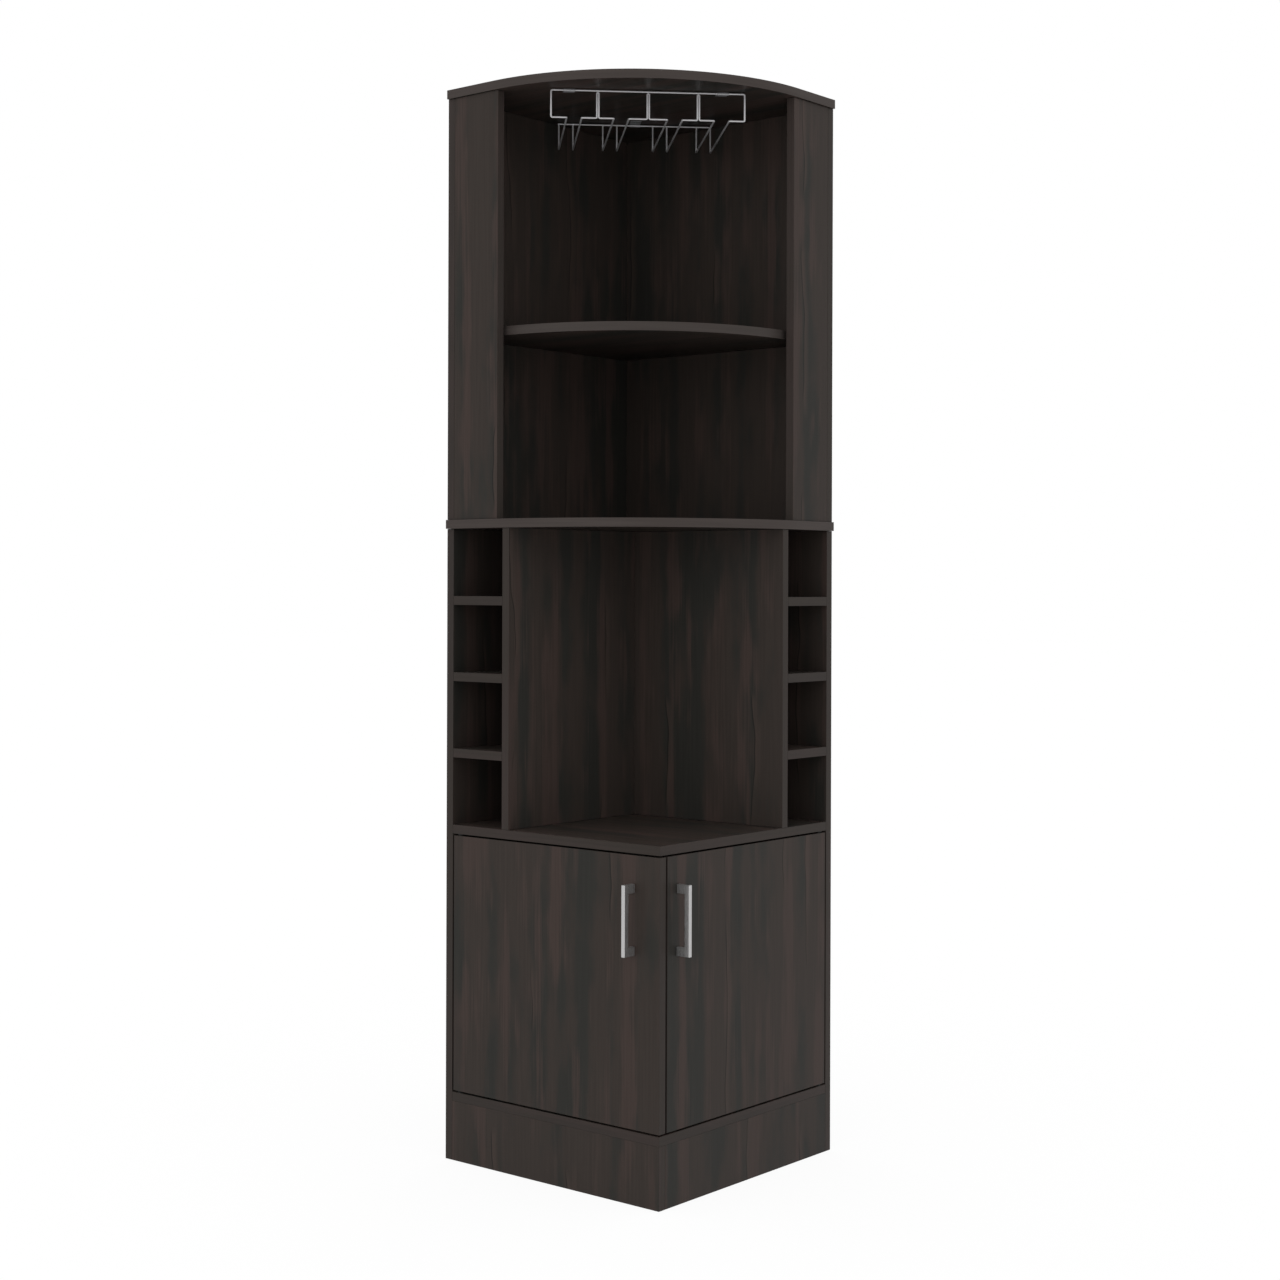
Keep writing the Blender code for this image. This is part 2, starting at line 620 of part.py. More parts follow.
def rack_frame():
    """Empty at the middle of the rack's front, turned so that its y runs into the room corner."""
    make_frame("rack_frame", Matrix.Translation((RACK_INSET, -RACK_INSET, TOP_Z))
               @ Matrix.Rotation(math.radians(45), 4, "Z"))


def rack_wires():
    """The bent frame wire, three hairpins and the back rail."""
    rail_z = -RAIL_DROP
    run_z = rail_z - RACK_DROP
    end_z = rail_z - WIRE_RADIUS - SEAM
    turn_z = end_z - WIRE_RADIUS
    half_path = [(FOOT_START, RACK_DEPTH, end_z), (FOOT_START, RACK_DEPTH, run_z),
                 (FOOT_START, 0, run_z), (RACK_HALF, 0, run_z), (RACK_HALF, 0, rail_z)]
    other_half = [(-x, y, z) for x, y, z in reversed(half_path)]
    points = half_path + other_half
    wire("rack_frame_wire", rounded_path(points, [WIRE_BEND] * (len(points) - 2)), "rack_frame")
    turn = HAIRPIN_PITCH / 2 * HAIRPIN_TURN_SHARE
    side_middle = CENTRE_HAIRPIN / 2 + SLOT_PITCH + SIDE_HAIRPIN / 2
    for name, middle, width in (("left", -side_middle, SIDE_HAIRPIN), ("centre", 0, CENTRE_HAIRPIN),
                                ("right", side_middle, SIDE_HAIRPIN)):
        reach, upright = width / 2, HAIRPIN_PITCH / 2
        half_path = [(reach, RACK_DEPTH, end_z), (reach, RACK_DEPTH, run_z), (reach, 0, run_z),
                     (upright, 0, run_z), (upright, 0, turn_z)]
        points = half_path + [(-x, y, z) for x, y, z in reversed(half_path)]
        points = [(middle + x, y, z) for x, y, z in points]
        bends = [WIRE_BEND] * 3 + [turn] * 2 + [WIRE_BEND] * 3
        wire("rack_" + name + "_hairpin", rounded_path(points, bends), "rack_frame")
    rail_end = FOOT_START + WIRE_RADIUS
    wire("rack_back_rail", [(-rail_end, RACK_DEPTH, rail_z), (rail_end, RACK_DEPTH, rail_z)],
         "rack_frame")


def clip_mesh():
    """A sheet clip: a tongue under the top board that curls round the wire."""
    sheet_z = -SEAM - CLIP / 2
    curl = WIRE_RADIUS + SEAM + CLIP / 2
    line = [(CLIP_TONGUE, sheet_z)]
    for step in range(CLIP_ARC_STEPS + 1):
        turn = math.radians(90) + CLIP_ARC * step / CLIP_ARC_STEPS
        line.append((curl * math.cos(turn), -RAIL_DROP + curl * math.sin(turn)))
    mesh = bpy.data.meshes.new("clip_sheet")
    shape = bmesh.new()
    points = [shape.verts.new((-CLIP_WIDTH / 2, y, z)) for y, z in line]
    edges = [shape.edges.new(pair) for pair in zip(points, points[1:])]
    drawn = bmesh.ops.extrude_edge_only(shape, edges=edges)["geom"]
    moved = [item for item in drawn if isinstance(item, bmesh.types.BMVert)]
    bmesh.ops.translate(shape, vec=(CLIP_WIDTH, 0, 0), verts=moved)
    shape.to_mesh(mesh)
    shape.free()
    guide = bpy.data.objects.new("clip_sheet", mesh)
    parts.objects.link(guide)
    sheet = guide.modifiers.new("sheet", "SOLIDIFY")
    sheet.thickness = CLIP
    sheet.offset = 0
    sheet.use_even_offset = True
    depsgraph = bpy.context.evaluated_depsgraph_get()
    body = bpy.data.meshes.new_from_object(guide.evaluated_get(depsgraph))
    bpy.data.objects.remove(guide, do_unlink=True)
    return body


def rack_clips():
    """Two clips on the front rail and one on the back rail, each with a screw."""
    body = clip_mesh()
    screw, cutter = pan_screw(SMALL_SCREW_RADIUS, SMALL_HEAD_RADIUS, SMALL_HEAD,
                              CLIP + SEAM + SMALL_SCREW_DEPTH, SMALL_SIDES)
    rack_place = frames["rack_frame"][1]
    underside = -SEAM - CLIP
    places = {"left": Matrix.Translation((CLIP_FROM_END["left"] - RACK_HALF, 0, 0)),
              "right": Matrix.Translation((RACK_HALF - CLIP_FROM_END["right"], 0, 0)),
              "back": Matrix.Translation((0, RACK_DEPTH, 0)) @ Matrix.Rotation(math.pi, 4, "Z")}
    for name, place in places.items():
        clip = "rack_" + name + "_clip"
        world = rack_place @ place
        add_piece(clip, "satin_steel_wire", body, world)
        driven = (world @ Matrix.Translation((0, CLIP_SCREW_FROM_WIRE, underside))
                  @ Matrix.Rotation(math.pi, 4, "X"))
        add_piece(clip + "_screw", "zinc_steel", screw, driven)
        bore([clip, "top_board"], cutter, driven)


def join_booked(kind, booked, operation):
    """Join or cut what is booked for each piece, with one helper object a piece."""
    for name, bodies in booked.items():
        helper_name = name + "_" + kind
        helper = bpy.data.objects.new(helper_name, joined_mesh(helper_name, bodies))
        cutters.objects.link(helper)
        helper.parent = frames["room_corner"][0]
        helper.hide_render = True
        helper.display_type = "WIRE"
        change = bpy.data.objects[name].modifiers.new(kind, "BOOLEAN")
        change.operation = operation
        change.object = helper


clear_scene()
parts = make_collection("corner_bar_cabinet")
cutters = make_collection("cutters")
make_frame("room_corner", Matrix.Identity(4))
wall_panels()
plinth()
square_boards()
cubbies()
rounded_boards()
stiles()
doors()
handles()
pivots()
catches()
dowels()
rack_frame()
rack_wires()
rack_clips()
join_booked("pegs", pegs, "UNION")
join_booked("bores", bores, "DIFFERENCE")
bpy.context.view_layer.update()
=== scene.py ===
# %% [markdown]
# # A corner bar cabinet, dressed for its portrait
# The cabinet was first made as a plain CAD model: boards, doors, handles, pivots and a wire rack, each
# in its true place. This lesson loads that model and dresses it. Every piece is made again with a finer
# surface, in the same place, and gets the finish that the real one has.

# %% Load the CAD model
import math

import bmesh
import bpy
from mathutils import Matrix, Vector


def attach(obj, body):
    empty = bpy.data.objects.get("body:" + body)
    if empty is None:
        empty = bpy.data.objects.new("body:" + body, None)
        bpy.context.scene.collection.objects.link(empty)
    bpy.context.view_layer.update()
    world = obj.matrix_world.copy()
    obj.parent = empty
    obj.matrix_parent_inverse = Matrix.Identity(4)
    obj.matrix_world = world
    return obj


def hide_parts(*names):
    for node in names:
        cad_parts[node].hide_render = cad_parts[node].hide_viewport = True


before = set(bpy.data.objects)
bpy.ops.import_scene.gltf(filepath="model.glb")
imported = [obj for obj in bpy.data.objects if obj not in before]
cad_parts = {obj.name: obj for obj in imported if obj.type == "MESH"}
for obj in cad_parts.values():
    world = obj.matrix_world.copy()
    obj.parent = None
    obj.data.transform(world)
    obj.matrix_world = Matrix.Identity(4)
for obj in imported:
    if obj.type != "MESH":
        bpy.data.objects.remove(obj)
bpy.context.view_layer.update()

# %% [markdown]
# ## The sizes on the drawing
# A cabinet maker writes the sizes down once and works everything out from them. These are the sizes of
# the CAD model again, in millimetres, because a finer piece has to land exactly where its plain one is.
# x runs along the back wall and -y along the left wall, both from the room corner.

# %% Sizes, in millimetres
SIDE = 465.0  # room corner to each front
BOARD = 15.0
SEAM = 0.3  # between pieces that touch
PLINTH, DOOR_OPENING, CUBBY = 100.0, 434.5, 113.25
LOWER_BAY, UPPER_BAY = 306.0, 388.5
CUBBY_ROWS = 4
CUBBY_WIDTH, STILE_WIDTH = 113.0, 100.0
DOOR_GAP, CORNER_GAP = 3.0, 4.0
HANDLE_REACH = 25.5
BENCH_Z = PLINTH + BOARD + DOOR_OPENING
BENCH_TOP = BENCH_Z + BOARD
MIDDLE_Z = BENCH_TOP + CUBBY_ROWS * (CUBBY + BOARD) - BOARD
MIDDLE_TOP = MIDDLE_Z + BOARD
SHELF_Z = MIDDLE_TOP + LOWER_BAY
TOP_Z = SHELF_Z + BOARD + UPPER_BAY
DOOR_LOW, DOOR_HIGH = PLINTH + BOARD + DOOR_GAP, BENCH_Z - DOOR_GAP
INSIDE = BOARD + SEAM
FULL_DEPTH = SIDE - INSIDE
DIVIDER_FACE = BOARD + CUBBY_WIDTH
DIVIDER_BACK = DIVIDER_FACE + BOARD
HALF = (SIDE + HANDLE_REACH) / 2
print("cabinet height:", TOP_Z + BOARD, "mm")

# %% Turn millimetres from the room corner into the scene's metres
def room(x, y, z):
    """A point given from the room corner."""
    return Vector((x - HALF, y + HALF, z)) / 1000


def spot(side, along, depth, z):
    """A point beside one front: along it from the wall, and behind it."""
    if side == "left":
        return room(along, depth - SIDE, z)
    return room(SIDE - depth, -along, z)


SIDES = ("left", "right")
UP = Vector((0, 0, 1))
OUTWARD = {"left": Vector((0, -1, 0)), "right": Vector((1, 0, 0))}  # out of each front
print("front corner:", spot("left", SIDE, 0, 0))

# %% [markdown]
# ## Camera
# The picture was taken from the right of the cabinet's front corner, at about chest height, with a short
# telephoto lens held level. The lens, the distance and the height were worked out from the board edges.
# A level camera keeps upright boards parallel, so the picture is framed with a little shift, not a tilt.

# %% Camera
def add_object(name, data):
    """Put an object into the scene."""
    made = bpy.data.objects.new(name, data)
    bpy.context.scene.collection.objects.link(made)
    return made


CAMERA_PLACE = Vector((2.2355, -2.6928, 0.9651))
LENS = 58.096  # millimetres, on a sensor 36 mm wide
SHIFT_UP = -0.0413  # share of the picture's width
TURNED, ROLLED = 39.758, 0.173  # degrees about the upright, and about the line of sight
camera = add_object("camera", bpy.data.cameras.new("camera"))
camera.data.lens = LENS
camera.data.shift_y = SHIFT_UP
camera.matrix_world = (Matrix.Translation(CAMERA_PLACE)
                       @ Matrix.Rotation(math.radians(TURNED), 4, "Z")
                       @ Matrix.Rotation(math.radians(90), 4, "X")
                       @ Matrix.Rotation(math.radians(ROLLED), 4, "Z"))
bpy.context.scene.camera = camera
bpy.context.scene.view_settings.view_transform = "Standard"
print("camera to front corner:", round((CAMERA_PLACE - spot("left", SIDE, 0, 0)).length, 3), "m")

# %% [markdown]
# ## Colours and nodes
# Colours are written as sRGB hex values, as in a paint shop's list. Blender's shaders work on linear
# light, so one function turns a hex value into linear numbers. A second one adds a shader node with its
# settings and its links in a single call, which keeps the finishes below short enough to read.

# %% Helpers for finishes
def linear(hex_colour):
    """A colour like #3C3531 as linear red, green, blue and full alpha."""
    values = [int(hex_colour[start:start + 2], 16) / 255 for start in (1, 3, 5)]
    return [v / 12.92 if v <= 0.04045 else ((v + 0.055) / 1.055) ** 2.4 for v in values] + [1.0]


def node(tree, kind, sockets=None, **settings):
    """Add a shader node. A socket's value is a number, a colour, or another node's output."""
    made = tree.nodes.new("ShaderNode" + kind)
    for name, value in settings.items():
        setattr(made, name, value)
    for name, value in (sockets or {}).items():
        if isinstance(value, bpy.types.NodeSocket):
            tree.links.new(value, made.inputs[name])
        else:
            made.inputs[name].default_value = value
    return made


def new_finish(name, roughness, metallic=0.0, **plain):
    """A material with its Principled shader set to plain values."""
    material = bpy.data.materials.new(name)
    material.use_nodes = True
    shader = material.node_tree.nodes["Principled BSDF"]
    shader.inputs["Roughness"].default_value = roughness
    shader.inputs["Metallic"].default_value = metallic
    for socket, value in plain.items():
        shader.inputs[socket.replace("_", " ")].default_value = value
    return material, material.node_tree, shader


def add_relief(tree, shader, height, strength, distance):
    """Let a pattern tilt the surface a little. distance is in metres."""
    bump = node(tree, "Bump", {"Strength": strength, "Distance": distance, "Height": height})
    tree.links.new(bump.outputs["Normal"], shader.inputs["Normal"])


print("wenge brown in linear light:", [round(v, 4) for v in linear("#3C3531")])

# %% [markdown]
# ## Wenge melamine board
# The boards are chipboard faced with melamine paper that is printed as wenge, then pressed between satin
# plates. The print has soft bands a few centimetres wide that go from a pinkish brown to a greenish grey,
# short wisps that break the bands up, fine streaks, and now and then a thin dark line that wanders along
# the grain with a paler strip beside it. A photograph of wenge could be laid on the boards, but noise
# never repeats and stays sharp close by. Each part is a noise that is stretched along the grain, so it
# reads the boards' own grain map, which is measured in metres: across the grain is its first number,
# along the grain its second. Real pores are thinner than a pixel here, so the finest streaks are drawn
# up to 4 mm wide, wide enough to show.

# %% Noise stretched along the grain
PRINT_NOISE = {  # width and length in millimetres, place on the noise, and detail
    "streaks": (4.0, 160, 13.3, 3.0),
    "broad bands": (52, 1500, 3.1, 1.0), "broad wisps": (60, 150, 5.9, 3.0),
    "narrow bands": (32, 1100, 7.7, 1.0), "narrow wisps": (40, 150, 9.4, 2.0),
    "line sways": (1500, 260, 21.9, 0.0), "line jogs": (1500, 50, 27.3, 0.0),
    "line breaks": (120, 260, 31.7, 2.0)}


def along_grain(tree, grain, name):
    """One noise of the print, stretched along the grain."""
    wide_mm, long_mm, place, detail = PRINT_NOISE[name]
    placed = node(tree, "Mapping", {
        "Vector": grain, "Location": (place, place / 2, 0),
        "Scale": (1000 / wide_mm, 1000 / long_mm, 1)})
    made = node(tree, "TexNoise", {
        "Vector": placed.outputs["Vector"], "Scale": 1.0, "Detail": detail, "Roughness": 0.5,
        "Distortion": 0.0}, noise_dimensions="2D")
    return made.outputs["Fac"]


print("noises in the print:", len(PRINT_NOISE))

# %% Arithmetic on patterns
LOW, HIGH = 0.2, 0.8  # nearly all of a noise lies between these values


def between(tree, value, low, high, new_low=0.0, new_high=1.0):
    """Spread the values from low to high over a new range, with soft ends."""
    made = node(tree, "MapRange", {
        "Value": value, "From Min": low, "From Max": high, "To Min": new_low, "To Max": new_high},
        interpolation_type="SMOOTHSTEP")
    return made.outputs["Result"]


def sum_of(tree, first, second, operation="ADD"):
    """Join two values with arithmetic."""
    return node(tree, "Math", {0: first, 1: second}, operation=operation).outputs["Value"]


def mixed_colour(tree, factor, first, second, blend="MIX"):
    """One colour over another."""
    return node(tree, "Mix", {"Factor": factor, 6: first, 7: second},
                data_type="RGBA", blend_type=blend).outputs[2]


print("noise values run from", LOW, "to", HIGH)

# %% Thin dark lines that wander along the grain
LINE_SPACING = 0.16  # metres of board for each line
LINE_SWAY, LINE_JOG = 0.016, 0.003  # metres that it wanders, slowly and quickly
LINE_PLACES = (0.15, 0.80)  # where it may run, as a share of the spacing
LINE_FADE = (0.002, 0.012)  # from full to none on both sides, in shares too
STRIP_RISE, STRIP_FADE = (0.0, 0.01), (0.02, 0.11)
LINE_ENDS = (0.50, 0.60)  # noise values between which a line comes and goes


def line_and_strip(tree, grain):
    """Where the pale strip runs, and the dark line on its edge, 2 mm wide, both in broken stretches."""
    across = node(tree, "SeparateXYZ", {"Vector": grain}).outputs["X"]
    sway = between(tree, along_grain(tree, grain, "line sways"), LOW, HIGH, 0, LINE_SWAY)
    jog = between(tree, along_grain(tree, grain, "line jogs"), LOW, HIGH, 0, LINE_JOG)
    swayed = sum_of(tree, across, sum_of(tree, sway, jog))
    columns = sum_of(tree, swayed, LINE_SPACING, "DIVIDE")
    column = sum_of(tree, columns, 0.0, "FLOOR")
    middle = node(tree, "TexWhiteNoise", {"W": column}, noise_dimensions="1D")
    middle = between(tree, middle.outputs["Value"], 0, 1, *LINE_PLACES)
    beside = sum_of(tree, sum_of(tree, columns, column, "SUBTRACT"), middle, "SUBTRACT")
    broken = between(tree, along_grain(tree, grain, "line breaks"), *LINE_ENDS)
    line = between(tree, sum_of(tree, beside, 0.0, "ABSOLUTE"), *LINE_FADE, 1.0, 0.0)
    strip = sum_of(tree, between(tree, beside, *STRIP_RISE), between(tree, beside, *STRIP_FADE, 1.0, 0.0),
                   "MULTIPLY")
    return [sum_of(tree, part, broken, "MULTIPLY") for part in (strip, line)]


print("a dark line for every", LINE_SPACING * 1000, "mm of board")

# %% The printed wenge pattern
WISP_SHARE = 0.42  # how far short wisps break up the long bands
BAND_EDGES = {"broad": (0.46, 0.61), "narrow": (0.49, 0.65)}  # noise values where a band comes in
RAGGED = 0.035  # how far streaks fray the bands' edges, in noise values
STREAK_SHADE = 0.06  # how much streaks darken and lighten the print
STRIP_COLOUR, LINE_COLOUR = "#4A3F3A", "#1E1D1B"


def wenge(name, brown, grey, pink, roughness, line_strength=0.0):
    """Wenge print under a satin skin: brown, broad grey bands and narrow pink ones."""
    material, tree, shader = new_finish(name, roughness, IOR=1.5, Specular_IOR_Level=0.1)
    grain = node(tree, "UVMap", uv_map="grain").outputs["UV"]
    streaks = along_grain(tree, grain, "streaks")
    frayed = between(tree, streaks, LOW, HIGH, -RAGGED, RAGGED)
    print_colour = linear(brown)
    for width, colour in (("broad", grey), ("narrow", pink)):
        bands = node(tree, "Mix", {
            "Factor": WISP_SHARE, 2: along_grain(tree, grain, width + " bands"),
            3: along_grain(tree, grain, width + " wisps")})
        cover = between(tree, sum_of(tree, bands.outputs[0], frayed), *BAND_EDGES[width])
        print_colour = mixed_colour(tree, cover, print_colour, linear(colour))
    if line_strength:
        for part, colour in zip(line_and_strip(tree, grain), (STRIP_COLOUR, LINE_COLOUR)):
            cover = sum_of(tree, part, line_strength, "MULTIPLY")
            print_colour = mixed_colour(tree, cover, print_colour, linear(colour))
    shade = between(tree, streaks, 0.25, 0.75, 1 - STREAK_SHADE, 1 + STREAK_SHADE)
    grey_shade = node(tree, "CombineColor", {"Red": shade, "Green": shade, "Blue": shade})
    print_colour = mixed_colour(tree, 1.0, print_colour, grey_shade.outputs["Color"], "MULTIPLY")
    tree.links.new(print_colour, shader.inputs["Base Color"])
    satin = between(tree, streaks, LOW, HIGH, roughness - 0.04, roughness + 0.05)
    tree.links.new(satin, shader.inputs["Roughness"])
    add_relief(tree, shader, streaks, strength=0.25, distance=0.00005)
    return material


# Satin melamine: a weak, broken sheen over three close browns.
melamine = wenge("melamine_wenge_satin", "#3C3531", "#31302D", "#453A36", 0.38, 0.6)
print("finish:", melamine.name)

# %% [markdown]
# ## Edge banding
# The cut edges of the boards are closed with a strip of ABS, printed to match and trimmed flush. Its
# print is plainer than the melamine's, with long faint streaks, and its corners are eased to a half
# millimetre, which catches a thin line of light along every edge. The round fronts need a softer strip
# that bends without whitening, and its print comes out a little paler than the rest. Both are the wenge
# print again with its three colours close together and without the dark lines.

# %% Edge banding
# ABS banding: nearly one brown, so that a board's edge reads as a plain line.
banding = wenge("abs_edge_banding_wenge", "#3B3531", "#3A3431", "#3E3633", 0.38)
# Soft banding: a paler brown, so that the round fronts stand out from what is under them.
soft_banding = wenge("abs_soft_banding_wenge", "#4A4340", "#48423F", "#4C4542", 0.38)
print("finish:", banding.name, soft_banding.name)

# %% [markdown]
# ## Metals and plastics
# The handles are aluminium that was brushed along its length and anodised, so they shine softly and
# their faces differ strongly in brightness. The anodic skin is clear but not smooth and scatters a part
# of the light, so metallic is a little under 1. The rack is steel wire with a satin nickel plating that
# scatters light too, and its clips are sheet steel with a dull zinc. Screws are zinc plated, which is
# bluer and a little blotchy, and the door pins are phosphated black, so that they don't show in the gap.
# The bushes are black nylon, and the catches are moulded black ABS round a ferrite magnet. A metal keeps
# the shader's own IOR. A flat colour would look like paint, so each one carries fine marks.

# %% Two close tones of one colour
def toned(tree, shader, marks, colour, dark_share):
    """Colour a surface with fine marks, of which the darkest lose dark_share of their light."""
    light = linear(colour)
    dark = [v * (1 - dark_share) for v in light[:3]] + [1.0]
    tree.links.new(mixed_colour(tree, marks, dark, light), shader.inputs["Base Color"])


print("zinc in linear light:", [round(v, 3) for v in linear("#B4B8BC")])

# %% Metals
def plated(name, colour, roughness, metallic, wide_mm, long_mm, dark_share):
    """A metal with marks that run along one axis of the piece, or blotches where both are alike."""
    material, tree, shader = new_finish(name, roughness, metallic)
    place = node(tree, "TexCoord").outputs["Object"]
    stretched = node(tree, "Mapping", {
        "Vector": place, "Scale": (1000 / wide_mm, 1000 / wide_mm, 1000 / long_mm)})
    marks = node(tree, "TexNoise", {
        "Vector": stretched.outputs["Vector"], "Scale": 1.0, "Detail": 3.0}).outputs["Fac"]
    toned(tree, shader, marks, colour, dark_share)
    polish = between(tree, marks, 0.3, 0.7, roughness - 0.05, roughness + 0.06)
    tree.links.new(polish, shader.inputs["Roughness"])
    add_relief(tree, shader, marks, strength=0.2, distance=0.00003)
    return material


# Anodised aluminium: bright and soft, with marks 20 mm long that run up the bar.
anodised = plated("aluminium_brushed_anodised", "#C2C1C1", 0.29, 0.80, 0.4, 20, 0.10)
# Satin nickel: a pale wire that keeps its shape under the dark top board.
nickel = plated("steel_wire_satin_nickel", "#CFCED0", 0.36, 0.40, 1.5, 1.5, 0.12)
# Dull zinc: a flat mid grey, darker than the wire it holds.
clip_zinc = plated("steel_sheet_zinc_dull", "#A6A6A8", 0.45, 0.5, 1.2, 1.2, 0.2)
# Bright zinc: a cool blotchy shine on the screws and strike plates.
zinc = plated("steel_zinc_plated", "#B4B8BC", 0.38, 1.0, 0.9, 0.9, 0.18)
# Phosphate: a black, dry steel that is lost in the shadow of the gap.
phosphate = plated("steel_black_phosphated", "#2E2D2C", 0.5, 0.6, 0.6, 0.6, 0.25)
print("metals:", ", ".join(metal.name for metal in (anodised, nickel, clip_zinc, zinc, phosphate)))

# %% Plastics and the magnet
def moulded(name, colour, roughness, grit_mm):
    """A moulded surface with the fine grit of its mould."""
    material, tree, shader = new_finish(name, roughness, IOR=1.53)
    place = node(tree, "TexCoord").outputs["Object"]
    grit = node(tree, "TexNoise", {
        "Vector": place, "Scale": 1000 / grit_mm, "Detail": 2.0}).outputs["Fac"]
    toned(tree, shader, grit, colour, dark_share=0.12)
    add_relief(tree, shader, grit, strength=0.2, distance=0.00005)
    return material


# Nylon: a soft black that hides the bush under the door.
nylon = moulded("nylon_black_moulded", "#1B1A19", 0.5, 0.8)
# ABS: a cooler black, for the catch's case.
black_abs = moulded("abs_black_moulded", "#1A1A1B", 0.5, 0.8)
# Ferrite: a dull dark grey between the catch's bright poles.
ferrite = moulded("ferrite_magnet_pressed", "#3A3A3C", 0.6, 0.5)
print("plastics:", nylon.name, black_abs.name, ferrite.name)

# %% [markdown]
# ## Banded boards
# Every board is made alike: chipboard cut to size, faced on both sides and banded on its edges. A box
# with eased edges is the right form for it. What makes it read as a real board is which way the print
# runs and that the banding is another strip of print. So each face is laid out on the grain map in real
# metres, and the narrow faces and eased corners take the banding. Each board is cut from its own place
# on the print, so that no two look alike.

# %% A mesh with its finishes, hung from a body
EASE = 0.0004  # metres, eased edge of the banding
SHARP = 35  # degrees between two faces from which their edge is drawn sharp


def prism(low, high):
    """A closed bmesh between two rings of points."""
    shape = bmesh.new()
    rings = [[shape.verts.new(point) for point in ring] for ring in (low, high)]
    for here in range(len(low)):
        there = (here + 1) % len(low)
        shape.faces.new((rings[0][here], rings[0][there], rings[1][there], rings[1][here]))
    for ring in rings:
        shape.faces.new(ring)
    bmesh.ops.recalc_face_normals(shape, faces=shape.faces)
    return shape


def add_block(shape, first, second):
    """Add a block between two opposite corners to a bmesh and return its vertices."""
    low, high = Vector(map(min, first, second)), Vector(map(max, first, second))
    made = bmesh.ops.create_cube(shape, size=1)["verts"]
    bmesh.ops.scale(shape, vec=high - low, verts=made)
    bmesh.ops.translate(shape, vec=(low + high) / 2, verts=made)
    return made


def ease_edges(shape, edges, offset=EASE, segments=3):
    """Round edges off and return the new faces."""
    return bmesh.ops.bevel(shape, geom=edges, offset=offset, segments=segments, affect="EDGES",
                           profile=0.5)["faces"]


def mesh_of(name, shape):
    """Turn a bmesh into a mesh and free it."""
    mesh = bpy.data.meshes.new(name)
    shape.to_mesh(mesh)
    shape.free()
    return mesh


def finish_piece(name, shape, finishes, body, nodes):
    """Turn a bmesh into a smooth-shaded piece that stands for its CAD nodes."""
    mesh = mesh_of(name, shape)
    for finish in finishes:
        mesh.materials.append(finish)
    mesh.shade_smooth()
    mesh.set_sharp_from_angle(angle=math.radians(SHARP))
    piece = add_object(name, mesh)
    even =piece.modifiers.new("flat faces stay flat", "WEIGHTED_NORMAL")
    even.keep_sharp = True
    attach(piece, body)
    if nodes:
        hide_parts(*nodes)
    return piece


print("edges eased by", EASE * 1000, "mm")

# %% The grain map
CUT_STEP = (2.11, 3.07)  # metres on the print from one board's lower corner to the next one's
FAR_SIDE = 0.61  # metres on the print from a board's near side to its far one
FLAT = 0.95  # a face belongs to a board's broad side if its normal reaches this
board_count = 0


def lay_grain(shape, grain_axis, thin_axis):
    """Lay each face on the grain map and give the narrow faces the banding."""
    global board_count
    board_count += 1
    cut = [step * board_count for step in CUT_STEP]
    low = [min(vert.co[axis] for vert in shape.verts) for axis in range(3)]
    high = [max(vert.co[axis] for vert in shape.verts) for axis in range(3)]
    grain = shape.loops.layers.uv.new("grain")
    shape.normal_update()
    for face in shape.faces:
        face.material_index = 0 if abs(face.normal[thin_axis]) > FLAT else 1
        turned = max(range(3), key=lambda axis: abs(face.normal[axis]))
        plane = [axis for axis in range(3) if axis != turned]
        run = grain_axis
        if face.material_index == 1:
            run = max(plane, key=lambda axis: high[axis] - low[axis])
        cross = plane[0] if plane[1] == run else plane[1]
        far_side = FAR_SIDE if face.normal.dot(Vector((1, -1, 1))) < 0 else 0
        for loop in face.loops:
            place = loop.vert.co
            loop[grain].uv = (place[cross] - low[cross] + cut[0] + far_side,
                              place[run] - low[run] + cut[1] + far_side)


print("step on the print:", CUT_STEP, "m")

# %% Straight boards
def straight_board(node_name, first, second, thin, grain="z", body="cabinet"):
    """A banded board between two opposite corners. thin and grain name their axes."""
    shape = bmesh.new()
    add_block(shape, first, second)
    ease_edges(shape, shape.edges[:])
    lay_grain(shape, "xyz".index(grain), "xyz".index(thin))
    return finish_piece("banded_" + node_name, shape, [melamine, banding], body, [node_name])


def side_board(node_name, side, along, depth, z, thin, grain="z", body="cabinet"):
    """A board given by its ranges along, behind and above one front. thin is along, depth or z."""
    axes = dict(zip(("along", "depth", "z"), "xyz" if side == "left" else "yxz"))
    return straight_board(node_name, spot(side, along[0], depth[0], z[0]),
                          spot(side, along[1], depth[1], z[1]), axes[thin], grain, body)


print("board thickness:", BOARD, "mm")

# %% The carcass: panels, plinth, bottom and bench
PLINTH_JOINT = 0.05  # the plinth is pushed up tight, so its joint is a hair line
PLINTH_HIGH = PLINTH - PLINTH_JOINT
lower, upper = (0, MIDDLE_Z - SEAM), (MIDDLE_TOP + SEAM, TOP_Z - SEAM)
